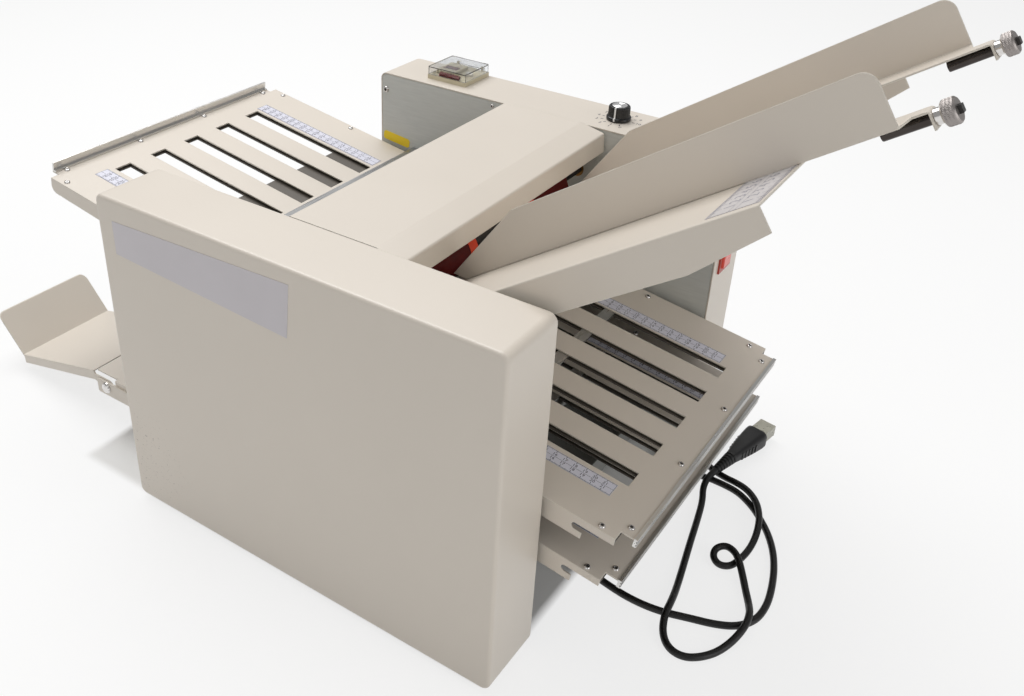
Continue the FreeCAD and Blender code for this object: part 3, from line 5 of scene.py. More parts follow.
import bmesh
import bpy
from mathutils import Matrix, Vector


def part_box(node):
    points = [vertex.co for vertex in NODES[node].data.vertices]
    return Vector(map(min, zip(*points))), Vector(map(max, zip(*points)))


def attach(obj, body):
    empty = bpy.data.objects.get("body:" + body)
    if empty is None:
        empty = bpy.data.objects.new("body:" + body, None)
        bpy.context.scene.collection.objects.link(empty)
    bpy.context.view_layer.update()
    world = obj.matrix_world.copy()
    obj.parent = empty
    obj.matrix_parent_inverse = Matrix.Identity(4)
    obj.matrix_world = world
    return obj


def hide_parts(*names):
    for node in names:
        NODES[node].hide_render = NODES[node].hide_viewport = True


bl_info = {
    "name": "Paper folding machine looks",
    "version": (1, 0, 0),
    "blender": (4, 5, 0),
    "location": "View3D > Sidebar > Folder",
    "description": "Paint, rulers, bare labels, screws, knurled knobs, cord and stage of a folding machine",
    "category": "Object",
}

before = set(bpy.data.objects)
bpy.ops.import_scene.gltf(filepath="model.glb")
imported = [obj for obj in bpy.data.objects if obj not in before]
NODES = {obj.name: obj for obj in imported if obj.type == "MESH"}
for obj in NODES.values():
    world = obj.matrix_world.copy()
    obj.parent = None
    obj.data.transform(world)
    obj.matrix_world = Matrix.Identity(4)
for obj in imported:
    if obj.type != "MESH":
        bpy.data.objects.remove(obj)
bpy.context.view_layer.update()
TURN = 2 * math.pi

# The camera that the photograph was taken with.
CAMERA_PLACE = (0.569115, -0.766957, 0.75565)
CAMERA_RIGHT = (0.8225585, 0.568177, 0.0239252)
CAMERA_UP = (-0.3023076, 0.4012462, 0.8646454)
CAMERA_BACK = (0.4816717, -0.7184542, 0.5018127)
SENSOR_WIDTH = 36

# The cord's route, the same points as in the part's source. One without a height lies on the floor.
CORD_REST = 0.0035
GLAND_MOUTH = (0.226, -0.069, 0.018)
RELIEF_END = (0.317, 0.137, 0.0125)
CORD_ROUTE = (
    (0.246, -0.0693, 0.017), (0.268, -0.0705, 0.008), (0.292, -0.073), (0.322, -0.077), (0.350, -0.0745),
    (0.375, -0.066), (0.398, -0.059), (0.416, -0.049), (0.427, -0.032), (0.429, -0.009), (0.425, 0.016),
    (0.418, 0.042), (0.408, 0.066), (0.394, 0.088), (0.376, 0.1075), (0.362, 0.119), (0.347, 0.1275),
    (0.331, 0.130), (0.311, 0.1305), (0.290, 0.126), (0.270, 0.127), (0.254, 0.137), (0.249, 0.154),
    (0.258, 0.168), (0.274, 0.172), (0.290, 0.164), (0.306, 0.148), (0.325, 0.142), (0.341, 0.137, 0.007),
    (0.356, 0.129, 0.0105), (0.369, 0.118, 0.011), (0.378, 0.104, 0.011), (0.3845, 0.088, 0.010),
    (0.388, 0.070, 0.005), (0.3885, 0.051), (0.386, 0.033), (0.3815, 0.0185), (0.3715, 0.0135, 0.004),
    (0.363, 0.019, 0.006), (0.3615, 0.029, 0.0085), (0.369, 0.036, 0.011), (0.379, 0.033, 0.0115),
    (0.387, 0.025, 0.011), (0.396, 0.013, 0.0065), (0.406, -0.003), (0.415, -0.019, 0.005),
    (0.421, -0.035, 0.011), (0.423, -0.050, 0.011), (0.420, -0.068, 0.007), (0.413, -0.086), (0.403, -0.101),
    (0.390, -0.111), (0.375, -0.110), (0.363, -0.098, 0.004), (0.357, -0.082, 0.0105),
    (0.3555, -0.064, 0.0105), (0.351, -0.040, 0.0045), (0.344, -0.008), (0.336, 0.028), (0.329, 0.062),
    (0.322, 0.092), (0.315, 0.108, 0.0075), (0.3145, 0.122, 0.0124),
)


def linear(red, green, blue):
    """A colour written as 0 to 255 screen values, turned into the linear values that sockets take."""
    out = []
    for value in (red, green, blue):
        share = value / 255
        out.append(share / 12.92 if share <= 0.04045 else ((share + 0.055) / 1.055) ** 2.4)
    return tuple(out)


def colour_property(name, description, screen):
    """A colour setting whose default is written as 0 to 255 screen values."""
    return bpy.props.FloatVectorProperty(name=name, description=description, subtype="COLOR", size=3,
                                         min=0, max=1, default=linear(*screen))


def length_property(name, description, default):
    """A length setting in metres."""
    return bpy.props.FloatProperty(name=name, description=description, default=default, min=0,
                                   subtype="DISTANCE", unit="LENGTH", precision=5)


def power_property(name, description, default):
    """A lamp's power in watts."""
    return bpy.props.FloatProperty(name=name, description=description, default=default, min=0,
                                   subtype="POWER", unit="POWER")


class FolderPaint(bpy.types.PropertyGroup):
    """Colours of the machine."""

    cover: colour_property("Cover paint", "Warm ivory enamel of covers, plates and guides", (220, 211, 199))
    inner: colour_property("Inner frames", "Grey enamel of the side frames", (206, 208, 204))
    label: colour_property("Front label", "Bare sticker on the front cover", (205, 200, 204))
    warning: colour_property("Inner label", "Bare sticker on the rear frame", (255, 220, 36))
    ruler: colour_property("Rulers", "Strip under the scale", (222, 222, 234))
    ink: colour_property("Ink", "Scale marks and figures", (38, 38, 62))
    tyre: colour_property("Feed tyres", "Rubber that moves the paper", (250, 70, 14))
    side_tyre: colour_property("Side tyres", "Dark rubber beside the feed tyres", (92, 4, 2))
    rocker: colour_property("Power rocker", "Red switch", (226, 70, 48))


class FolderTrim(bpy.types.PropertyGroup):
    """Sizes of the small trim."""

    strip: length_property("Strip thickness", "Thickness of rulers and labels", 0.0003)
    print_lift: length_property("Print lift", "Height of the print over its strip", 0.00006)
    rivet: length_property("Rivet radius", "Radius of the plates' domed screws", 0.0032)
    knurl: length_property("Knurl depth", "Depth of the clamp knobs' knurl", 0.00032)
    cord: length_property("Cord diameter", "Diameter of the power cord", 0.007)
    cord_length: length_property("Cord length", "Length of the power cord from gland to plug", 1.259)


class FolderStage(bpy.types.PropertyGroup):
    """Floor, lamps and camera."""

    floor: colour_property("Floor", "Plain pale floor", (244, 244, 243))
    lens: bpy.props.FloatProperty(name="Lens", description="Focal length on a 36 mm sensor", default=37.04,
                                  min=1, subtype="DISTANCE_CAMERA")
    shift_x: bpy.props.FloatProperty(name="Shift X", description="Sideways shift", default=0.0604)
    shift_y: bpy.props.FloatProperty(name="Shift Y", description="Upward shift", default=-0.0641)
    key: power_property("Key lamp", "Power of the large lamp above", 48)
    fill: power_property("Fill lamp", "Power of the soft lamp in front", 4)
    side: power_property("Side lamp", "Power of the soft lamp at the right", 12)
    sky: bpy.props.FloatProperty(name="Surround", description="Even surround's strength", default=0.36, min=0)


# Finishes

class Finish:
    """One procedural material: a Principled shader with noise in its colour, gloss and relief."""

    def __init__(self, name, colour, roughness, metallic=0.0):
        self.material = bpy.data.materials.new(name)
        self.material.use_nodes = True
        self.nodes = self.material.node_tree.nodes
        self.links = self.material.node_tree.links
        self.shader = self.nodes["Principled BSDF"]
        self.shader.inputs["Base Color"].default_value = (*colour, 1)
        self.shader.inputs["Roughness"].default_value = roughness
        self.shader.inputs["Metallic"].default_value = metallic
        self.colour = colour
        self.roughness = roughness
        self.relief = None
        self.place = self.nodes.new("ShaderNodeTexCoord").outputs["Object"]

    def link(self, start, end):
        self.links.new(start, end)

    def maths(self, operation, first, second=None):
        """One sum over one or two outputs."""
        item = self.nodes.new("ShaderNodeMath")
        item.operation = operation
        self.link(first, item.inputs[0])
        if second is not None:
            self.link(second, item.inputs[1])
        return item.outputs[0]

    def socket(self, name, value):
        """A uniform value, written on the shader's own socket."""
        self.shader.inputs[name].default_value = value
        return self

    def cloud(self, scale, detail=3.0, stretch=None, rough=0.5):
        """Noise over the object's own coordinates, which may be stretched along an axis."""
        source = self.place
        if stretch:
            mapping = self.nodes.new("ShaderNodeMapping")
            mapping.inputs["Scale"].default_value = stretch
            self.link(source, mapping.inputs["Vector"])
            source = mapping.outputs["Vector"]
        item = self.nodes.new("ShaderNodeTexNoise")
        item.inputs["Scale"].default_value = scale
        item.inputs["Detail"].default_value = detail
        item.inputs["Roughness"].default_value = rough
        self.link(source, item.inputs["Vector"])
        return item.outputs["Fac"]

    def remap(self, source, low, high, to_low, to_high):
        """A value moved from one range to another, and held at its ends."""
        item = self.nodes.new("ShaderNodeMapRange")
        for name, value in (("From Min", low), ("From Max", high), ("To Min", to_low), ("To Max", to_high)):
            item.inputs[name].default_value = value
        self.link(source, item.inputs["Value"])
        return item.outputs["Result"]

    def blend_colour(self, share, first, second):
        """A mix of two colours, each a tuple or another node's output."""
        item = self.nodes.new("ShaderNodeMix")
        item.data_type = "RGBA"
        colours = [socket for socket in item.inputs if socket.type == "RGBA"]
        self.link(share, item.inputs[0])
        for socket, value in zip(colours, (first, second)):
            if isinstance(value, tuple):
                socket.default_value = (*value, 1)
            else:
                self.link(value, socket)
        self.colour = next(socket for socket in item.outputs if socket.type == "RGBA")
        self.link(self.colour, self.shader.inputs["Base Color"])
        return self

    def mottle(self, scale, amount, stretch=None):
        """Slow colour change over the surface."""
        share = self.remap(self.cloud(scale, stretch=stretch), 0.3, 0.7, 0, 1)
        dark = tuple(max(0.0, value * (1 - amount)) for value in self.colour)
        pale = tuple(min(1.0, value * (1 + amount)) for value in self.colour)
        return self.blend_colour(share, dark, pale)

    def gloss(self, scale, spread, stretch=None):
        """Uneven gloss."""
        share = self.cloud(scale, stretch=stretch)
        self.link(self.remap(share, 0.3, 0.7, self.roughness - spread, self.roughness + spread),
                  self.shader.inputs["Roughness"])
        return self

    def grain(self, scale, height, stretch=None):
        """Fine relief, such as orange peel or brushing. Calls stack."""
        bump = self.nodes.new("ShaderNodeBump")
        bump.inputs["Strength"].default_value = 1.0
        bump.inputs["Distance"].default_value = height
        self.link(self.cloud(scale, 2.0, stretch), bump.inputs["Height"])
        if self.relief:
            self.link(self.relief, bump.inputs["Normal"])
        self.relief = bump.outputs["Normal"]
        self.link(self.relief, self.shader.inputs["Normal"])
        return self

    def soft_edges(self, radius, pale):
        """Edges catch the light as a folded sheet's do, and their colour is blended paler: a painted
        highlight along the folds.
        """
        bevel = self.nodes.new("ShaderNodeBevel")
        bevel.samples = 6
        bevel.inputs["Radius"].default_value = radius
        self.relief = bevel.outputs["Normal"]
        self.link(self.relief, self.shader.inputs["Normal"])
        flat = self.nodes.new("ShaderNodeNewGeometry").outputs["Normal"]
        turn = self.nodes.new("ShaderNodeVectorMath")
        turn.operation = "DOT_PRODUCT"
        self.link(bevel.outputs["Normal"], turn.inputs[0])
        self.link(flat, turn.inputs[1])
        # Where the bevelled normal turns away from the flat one, the colour goes paler: painted highlight on
        # the edges.
        share = self.remap(turn.outputs["Value"], 0.99, 0.78, 0, 1)
        return self.blend_colour(share, self.colour, pale)

    def specks(self, scale, low, high, colour, mask):
        """Small dark marks inside a mask."""
        share = self.remap(self.cloud(scale, 6.0, rough=0.7), low, high, 0, 1)
        return self.blend_colour(self.maths("MULTIPLY", share, mask), self.colour, colour)

    def near_place(self, place, reach):
        """One at a place of the object, falling to nothing at the given distance from it."""
        item = self.nodes.new("ShaderNodeVectorMath")
        item.operation = "DISTANCE"
        self.link(self.place, item.inputs[0])
        item.inputs[1].default_value = place
        return self.remap(item.outputs["Value"], reach * 0.3, reach, 1, 0)


FINISHES = {}


def enamel(name, colour, roughness=0.36):
    """Baked paint on sheet metal: faint orange peel, and a paler colour along the edges as painted highlight.
    """
    finish = Finish(name, colour, roughness)
    # The paler edge colour is a painted highlight on the folds, not worn paint.
    painted_highlight = tuple(min(0.93, value * 1.35) for value in colour)
    finish.mottle(5, 0.012).soft_edges(0.0013, painted_highlight)
    finish.grain(900, 0.00004).grain(160, 0.00006).gloss(12, 0.035)
    finish.socket("Coat Weight", 0.12).socket("Coat Roughness", 0.25)
    return finish


def surface(name, colour, roughness, mottle, gloss, metallic=0.0):
    """A finish with slow colour change and uneven gloss."""
    return Finish(name, colour, roughness, metallic).mottle(*mottle).gloss(*gloss)


def brushed(name, colour, roughness, stretch, metallic=1.0):
    """Metal with its grain drawn out along one axis."""
    finish = surface(name, colour, roughness, (240, 0.07, stretch), (300, 0.06, stretch), metallic)
    return finish.grain(700, 0.00003, stretch)


def rubber(name, colour, roughness):
    """Dull rubber with a fine pitted skin."""
    return surface(name, colour, roughness, (60, 0.15), (90, 0.08)).grain(1500, 0.00005)


def moulded(name, colour, roughness):
    """Moulded plastic."""
    return surface(name, colour, roughness, (40, 0.05), (60, 0.05)).grain(2200, 0.00002)


# Where the front cover is worn, and how far from that place.
WORN_CORNER = (-0.150, -0.246, 0.062)
WORN_REACH = 0.075


def make_finishes():
    """Every finish of the machine, under the name that the pieces ask for."""
    paint = bpy.context.scene.folder_paint
    cover = tuple(paint.cover)
    front = enamel("ivory_enamel_front", cover)
    front.specks(420, 0.60, 0.72, linear(96, 84, 70), front.near_place(WORN_CORNER, WORN_REACH))
    rolled = (0.3, 1, 3)
    inner = surface("grey_frame", tuple(paint.inner), 0.4, (160, 0.035, rolled), (200, 0.04, rolled), 0.15)
    # Near-black steel of the feed shaft and the clamp knobs' screw ends; on the screws' recess floors it is
    # painted shade.
    black_oxide = surface("black_oxide", (0.045, 0.042, 0.04), 0.45, (120, 0.2), (150, 0.08), 0.6)
    side_tyre = rubber("side_rubber", tuple(paint.side_tyre), 0.5)
    display = moulded("display_red", linear(104, 8, 14), 0.4)
    lid = Finish("clear_lid", (0.93, 0.94, 0.95), 0.04)
    lid.socket("Transmission Weight", 1.0).socket("IOR", 1.46)
    pins = surface("milky_cover", linear(196, 194, 180), 0.3, (160, 0.08), (120, 0.06))
    pins.socket("Transmission Weight", 0.35).socket("IOR", 1.46)
    window = surface("dark_window", linear(96, 18, 22), 0.16, (120, 0.25), (140, 0.05))
    label = surface("bare_label", tuple(paint.label), 0.3, (14, 0.02), (6, 0.03)).grain(200, 0.00001)
    warning = surface("bare_yellow_label", tuple(paint.warning), 0.4, (40, 0.04), (40, 0.05))
    ruler = surface("ruler_film", tuple(paint.ruler), 0.3, (30, 0.02), (40, 0.05))
    film = surface("table_film", linear(208, 204, 204), 0.34, (30, 0.02), (40, 0.05))
    FINISHES.update({
        "cover": enamel("ivory_enamel", cover),
        "front": front,
        "inner": inner.grain(500, 0.00002),
        "base": enamel("grey_base", linear(150, 150, 146), 0.5),
        # The under sheets take a darkened ivory instead of the cover paint: painted shade for the dark space
        # below the plates.
        "under": enamel("shaded_under_sheet", linear(92, 86, 78), 0.5),
        "steel": brushed("ground_steel", (0.52, 0.52, 0.52), 0.3, (1, 0.05, 1)),
        "rail": brushed("extruded_rail", (0.7, 0.69, 0.67), 0.3, (1, 0.04, 1)),
        "chrome": surface("polished_chrome", (0.72, 0.7, 0.68), 0.13, (80, 0.04), (120, 0.04), 1.0),
        # The rods' near-black colour stands in for the dark reflection along a chrome rod: painted
        # reflection.
        "rod": surface("dark_chrome", (0.06, 0.052, 0.048), 0.14, (80, 0.12), (120, 0.04), 1.0),
        "nickel": surface("knurled_nickel", (0.37, 0.34, 0.325), 0.45, (300, 0.08), (300, 0.06), 1.0),
        "dark_steel_and_recess_shade": black_oxide.grain(900, 0.00003),
        "tyre": rubber("feed_rubber", tuple(paint.tyre), 0.5),
        "side_tyre": side_tyre.socket("Specular IOR Level", 0.2),
        "pad": rubber("pad_rubber", linear(72, 68, 66), 0.75),
        "foot": rubber("foot_rubber", linear(34, 34, 34), 0.7),
        "belt": rubber("belt_rubber", linear(26, 26, 26), 0.6),
        "roller": rubber("roller_rubber", linear(46, 44, 44), 0.55),
        "bronze": brushed("sintered_bronze", linear(170, 128, 76), 0.42, (1, 0.2, 1)),
        "gear": moulded("gear_plastic", linear(226, 222, 206), 0.42),
        "cream": moulded("cream_case", linear(206, 196, 168), 0.35),
        "button": moulded("pale_button", linear(228, 224, 214), 0.35),
        "motor": enamel("motor_black", linear(40, 40, 42), 0.45),
        "bezel": moulded("bezel_black", linear(24, 24, 25), 0.3),
        "knob": moulded("knob_black", linear(20, 20, 21), 0.24),
        "disc": brushed("spun_disc", (0.8, 0.8, 0.8), 0.3, (1, 1, 0.2)),
        "rocker": moulded("rocker_red", tuple(paint.rocker), 0.28).socket("Coat Weight", 0.4),
        "rocker_rim": moulded("rocker_rim_red", linear(176, 58, 42), 0.35),
        "display": display.socket("Specular IOR Level", 0.2),
        "cord": rubber("cord_black", linear(16, 15, 15), 0.42),
        "plug": moulded("plug_black", linear(15, 15, 16), 0.45),
        "lid": lid.gloss(60, 0.03).grain(120, 0.00002),
        "pin_cover": pins,
        "window": window.socket("Coat Weight", 0.6),
        "label": label.socket("Coat Weight", 0.2),
        "warning": warning.grain(200, 0.00002),
        "ruler": ruler.grain(90, 0.00002),
        "ink": surface("ruler_ink", tuple(paint.ink), 0.5, (500, 0.2), (200, 0.05)),
        "table_film": film.grain(90, 0.00002),
        "faint_ink": surface("worn_ink", linear(152, 150, 160), 0.5, (500, 0.25), (200, 0.05)),
        "white": surface("white_print", linear(236, 236, 234), 0.45, (300, 0.03), (200, 0.05)),
    })


def finish_of(name):
    """The material of a finish."""
    return FINISHES[name].material


def placed(name, data):
    """A new object in the scene."""
    item = bpy.data.objects.new(name, data)
    bpy.context.scene.collection.objects.link(item)
    return item


# Mesh making

def polar_ring(steps, height, reach):
    """A ring of points about Z, whose distance from Z may change with the angle."""
    ring = []
    for step in range(steps):
        angle = TURN * step / steps
        out = reach(angle)
        ring.append((out * math.cos(angle), out * math.sin(angle), height))
    return ring


class Mould:
    """Collects the points and faces of one piece, each face with its material's number."""

    def __init__(self):
        self.points = []
        self.faces = []
        self.numbers = []

    def add(self, points, faces, number=0, place=None):
        """Points and faces as they are, moved to a place."""
        start = len(self.points)
        self.points += [place @ Vector(point) if place else Vector(point) for point in points]
        self.faces += [tuple(start + index for index in face) for face in faces]
        self.numbers += [number] * len(faces)

    def loft(self, rings, number=0, place=None, closed_ends=True):
        """A skin over rings of the same count of points."""
        count = len(rings[0])
        points = [point for ring in rings for point in ring]
        faces = []
        for row in range(len(rings) - 1):
            for step in range(count):
                ahead = (step + 1) % count
                low, high = row * count, (row + 1) * count
                faces.append((low + step, low + ahead, high + ahead, high + step))
        if closed_ends:
            faces.append(tuple(reversed(range(count))))
            last = (len(rings) - 1) * count
            faces.append(tuple(range(last, last + count)))
        self.add(points, faces, number, place)

    def lathe(self, profile, steps, number=0, place=None, closed_ends=True):
        """A turned form about Z from (radius, height) pairs."""
        rings = [polar_ring(steps, height, lambda angle: radius) for radius, height in profile]
        self.loft(rings, number, place, closed_ends)

    def slab(self, outline, low, high, number=0, place=None):
        """A flat outline given in X and Y, from one height to another."""
        self.loft([[(x, y, low) for x, y in outline], [(x, y, high) for x, y in outline]], number, place)

    def finish(self, name, body, slot, finishes, angle=35):
        """The collected faces as one object that rides on a body."""
        mesh = bpy.data.meshes.new(name)
        mesh.from_pydata(self.points, [], self.faces)
        mesh.polygons.foreach_set("material_index", self.numbers)
        mesh.update()
        tidy = bmesh.new()
        tidy.from_mesh(mesh)
        bmesh.ops.recalc_face_normals(tidy, faces=tidy.faces)
        tidy.to_mesh(mesh)
        tidy.free()
        for item in finishes:
            mesh.materials.append(finish_of(item))
        smooth(mesh, angle)
        piece = placed(name, mesh)
        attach(piece, body)
        return piece


def smooth(mesh, angle):
    """Smooth faces whose edges stay sharp above an angle in degrees."""
    mesh.shade_smooth()
    mesh.set_sharp_from_angle(angle=math.radians(angle))


def rounded_outline(length, width, radius, steps=5):
    """The outline of a rectangle with round corners, centred."""
    points = []
    for turn, (side_x, side_y) in enumerate(((1, 1), (-1, 1), (-1, -1), (1, -1))):
        for step in range(steps + 1):
            angle = TURN * (turn + step / steps) / 4
            points.append((side_x * (length / 2 - radius) + radius * math.cos(angle),
                           side_y * (width / 2 - radius) + radius * math.sin(angle)))
    return points


def axes_matrix(origin, along, across, normal):
    """The place of a piece whose X, Y and Z run along these directions."""
    return Matrix.Translation(Vector(origin)) @ Matrix((Vector(along), Vector(across), Vector(normal))
                                                       ).transposed().to_4x4()


def plate_matrix(x, z, tilt, side):
    """Axes of a fold plate's top: X outward along the plate, Y to the rear, Z up from it."""
    slope = math.radians(tilt)
    along = Vector((side * math.cos(slope), 0, -side * math.sin(slope) if side > 0 else math.sin(slope)))
    across = Vector((0, 1, 0))
    normal = along.cross(across)
    if normal.z < 0:
        normal = -normal
    return axes_matrix((x, 0, z), along, across, normal)


LEFT_PLATE = plate_matrix(-0.062, 0.2466, 8.748, -1)
UPPER_PLATE = plate_matrix(0.2028, 0.17876, 8.452, 1)
LOWER_PLATE = plate_matrix(0.1974, 0.1281, 8.452, 1)
TABLE_SLOPE = math.radians(34.491)
TABLE = axes_matrix((0.1333, 0, 0.2926), (math.cos(TABLE_SLOPE), 0, math.sin(TABLE_SLOPE)), (0, 1, 0),
                    (-math.sin(TABLE_SLOPE), 0, math.cos(TABLE_SLOPE)))

# Depth of the front cover's face and of the rear frame's inner face.
COVER_FACE = -0.246
FRAME_FACE = 0.177

FIGURES = {}


def figure_mesh(text):
    """Flat points and faces of a printed number, one unit high and centred."""
    if text not in FIGURES:
        curve = bpy.data.curves.new("figure", "FONT")
        curve.body = text
        curve.align_x = "CENTER"
        curve.align_y = "CENTER"
        curve.resolution_u = 2
        item = placed("figure", curve)
        bpy.context.view_layer.update()
        graph = bpy.context.evaluated_depsgraph_get()
        mesh = bpy.data.meshes.new_from_object(item.evaluated_get(graph))
        FIGURES[text] = ([tuple(point.co) for point in mesh.vertices],
                         [tuple(face.vertices) for face in mesh.polygons])
        bpy.data.objects.remove(item)
        bpy.data.curves.remove(curve)
        bpy.data.meshes.remove(mesh)
    return FIGURES[text]


def print_figure(mould, text, x, y, height, lift, place, number, turn=0.0):
    """A printed number, centred at a place of its strip."""
    points, faces = figure_mesh(text)
    spin = Matrix.Translation((x, y, lift)) @ Matrix.Rotation(turn, 4, "Z")
    mould.add([spin @ Vector((px * height, py * height, 0)) for px, py, _ in points], faces, number, place)


def print_bar(mould, x0, y0, x1, y1, lift, place, number):
    """A printed line, from one corner to the other."""
    mould.add([(x0, y0, lift), (x1, y0, lift), (x1, y1, lift), (x0, y1, lift)], [(0, 1, 2, 3)], number, place)


# The rulers' print: width of its lines, steps of its marks, and the place they are counted from.
PRINT_LINE = 0.0003
WHOLE_LINE = 0.0005
FINE_STEP = 0.001
HALF_STEP = 0.005
FIRST_MARK = 0.0035
# Shares of a ruler's width: marks of 1, 5 and 10 mm, then the figures' height and the place of their rows.
FINE_SHARE, HALF_SHARE, WHOLE_SHARE = 0.075, 0.1, 0.17
FIGURE_SHARE, ROW_SHARE = 0.3, 0.33


def make_ruler(name, place, start, end, low, high, first, turn, trim, inks=("ruler", "ink"), middles=(0.5,)):
    """A film strip with millimetre and centimetre marks, middle lines and two rows of numbers."""
    mould = Mould()
    line = PRINT_LINE
    width = high - low
    lift = trim.strip + trim.print_lift

    def bar(x0, y0, x1, y1):
        print_bar(mould, x0, y0, x1, y1, lift, place, 1)

    mould.slab([(start, low), (end, low), (end, high), (start, high)], 0, trim.strip, 0, place)
    for share in middles:
        middle = low + width * share
        bar(start, middle - line / 2, end, middle + line / 2)
    for edge in (low + line, high - 2 * line):
        bar(start, edge, end, edge + line)
    for edge in (start + line, end - 2 * line):
        bar(edge, low + line, edge + line, high - line)
    thin = line / 3
    for step in range(1, int((end - start) / FINE_STEP)):
        x = start + FINE_STEP / 2 + step * FINE_STEP
        for edge, reach in ((low + line, FINE_SHARE * width), (high - line, -FINE_SHARE * width)):
            bar(x - thin, edge, x + thin, edge + reach)
    for step in range(1, int((end - start) / HALF_STEP)):
        x = start + FIRST_MARK + step * HALF_STEP
        if x > end - FINE_STEP:
            break
        whole = step % 2 == 0
        mark = width * (WHOLE_SHARE if whole else HALF_SHARE)
        thick = WHOLE_LINE if whole else line
        bar(x - thick / 2, low + line, x + thick / 2, low + line + mark)
        bar(x - thick / 2, high - line - mark, x + thick / 2, high - line)
        if whole:
            text = str(first + step // 2)
            for row in (low + width * ROW_SHARE, high - width * ROW_SHARE):
                print_figure(mould, text, x, row, width * FIGURE_SHARE, lift, place, 1, turn)
    mould.finish(name, "chassis", None, inks)


# Operators

class FOLDER_OT_camera(bpy.types.Operator):
    """Place the camera where the photograph was taken from"""

    bl_idname = "folder.camera"
    bl_label = "Camera"

    def execute(self, context):
        stage = context.scene.folder_stage
        data = bpy.data.cameras.new("view_camera")
        data.sensor_width = SENSOR_WIDTH
        data.lens = stage.lens
        data.shift_x = stage.shift_x
        data.shift_y = stage.shift_y
        data.clip_start = 0.01
        camera = placed("view_camera", data)
        camera.matrix_world = axes_matrix(CAMERA_PLACE, CAMERA_RIGHT, CAMERA_UP, CAMERA_BACK)
        context.scene.camera = camera
        return {"FINISHED"}


class FOLDER_OT_cord(bpy.types.Operator):
    """Lay the power cord on the floor, with its plug and the tapered relief at the gland"""

    bl_idname = "folder.cord"
    bl_label = "Cord and plug"

    def execute(self, context):
        trim = context.scene.folder_trim
        curve = bpy.data.curves.new("power_lead", "CURVE")
        curve.dimensions = "3D"
        spline = curve.splines.new("NURBS")
        route = [GLAND_MOUTH, *((*place, CORD_REST)[:3] for place in CORD_ROUTE), RELIEF_END]
        spline.points.add(len(route) - 1)
        for point, place in zip(spline.points, route):
            point.co = (*place, 1)
        spline.order_u = 3
        spline.use_endpoint_u = True
        curve.resolution_u = 8
        curve.bevel_depth = trim.cord / 2
        curve.bevel_resolution = 6
        curve.use_fill_caps = True
        curve.materials.append(finish_of("cord"))
        lead = placed("power_lead", curve)
        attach(lead, "chassis")
        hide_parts("power_cord")
        plug = make_plug_body()
        relief = make_gland_relief()
        return {"FINISHED"}


# One rib: share of its length, and how deep it has sunk.
RIB_SHAPE = ((0.0, 0.6), (0.18, 0.0), (0.62, 0.0), (0.8, 1.0), (0.97, 1.0))


def ribbed_profile(length, start, end, ribs, depth):
    """Radius and height pairs of a tapered relief with ribs."""
    pairs = []
    for rib in range(ribs):
        for share, sink in RIB_SHAPE:
            along = (rib + share) / ribs
            pairs.append((start + (end - start) * along - depth * sink, length * along))
    pairs.append((end, length))
    return pairs


# Where the gland's relief begins.
GLAND_FACE = (0.2262, -0.069, 0.018)
# Reliefs: the cord's bore, then length, radius at each end, count of ribs and their depth.
GLAND_RELIEF = (0.0036, 0.0215, 0.0059, 0.0043, 5, 0.0007)
PLUG_RELIEF = (0.0037, 0.0280, 0.0046, 0.0072, 6, 0.0011)
# The plug's body: distance from the relief's mouth, width and height.
PLUG_STATIONS = (
    (0.0262, 0.0090, 0.00945), (0.0285, 0.01215, 0.01152), (0.034, 0.01395, 0.0126),
    (0.040, 0.01584, 0.01395), (0.050, 0.01908, 0.01656), (0.060, 0.02187, 0.0189),
    (0.070, 0.02412, 0.0207), (0.079, 0.02574, 0.02214), (0.0838, 0.02583, 0.02223),
    (0.0849, 0.02412, 0.02052),
)
PLUG_CORNER_SHARE = 0.3
PLUG_TURN = math.radians(-10)
# The finger ridges on the plug's sides: place and reach of the first one, and their steps to the next.
GRIP_COUNT = 5
GRIP_START, GRIP_STEP, GRIP_THICK = 0.041, 0.0055, 0.0022
GRIP_REACH, GRIP_LEAN = 0.008172, 0.000891
GRIP_SINK, GRIP_RISE, GRIP_FOOT, GRIP_CREST = 0.0012, 0.00055, 0.0055, 0.0045


def make_gland_relief():
    """The tapered ribbed sleeve where the cord leaves the base."""
    bore, *shape = GLAND_RELIEF
    place = Matrix.Translation(GLAND_FACE) @ Matrix.Rotation(math.radians(90), 4, "Y")
    mould = Mould()
    mould.lathe([(bore, 0)] + ribbed_profile(*shape) + [(bore, 0.0216)], 36, 0, place)
    return mould.finish("gland_relief", "chassis", "black_plastic", ("plug",))


def make_plug_body():
    """The moulded plug: a ridged relief that swells into a flat flaring body with finger ridges."""
    bore, *shape = PLUG_RELIEF
    place = (Matrix.Translation(RELIEF_END) @ Matrix.Rotation(PLUG_TURN, 4, "Z")
             @ Matrix.Rotation(math.radians(-90), 4, "X"))
    mould = Mould()
    mould.lathe([(bore, 0.0003)] + ribbed_profile(*shape) + [(0.006, 0.0285)], 40, 0, place)
    rings = []
    for height, wide, tall in PLUG_STATIONS:
        radius = min(wide, tall) * PLUG_CORNER_SHARE
        rings.append([(x, y, height) for x, y in rounded_outline(wide, tall, radius, 6)])
    mould.loft(rings, 0, place)
    for side in (-1, 1):
        for step in range(GRIP_COUNT):
            height = GRIP_START + step * GRIP_STEP
            face = GRIP_REACH + step * GRIP_LEAN
            low, high = side * (face - GRIP_SINK), side * (face + GRIP_RISE)
            bar = [(low, -GRIP_FOOT), (high, -GRIP_CREST), (high, GRIP_CREST), (low, GRIP_FOOT)]
            mould.slab(bar, height, height + GRIP_THICK, 0, place)
    plug = mould.finish("plug_body", "chassis", "black_rubber", ("plug",), 50)
    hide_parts("power_plug")
    return plug


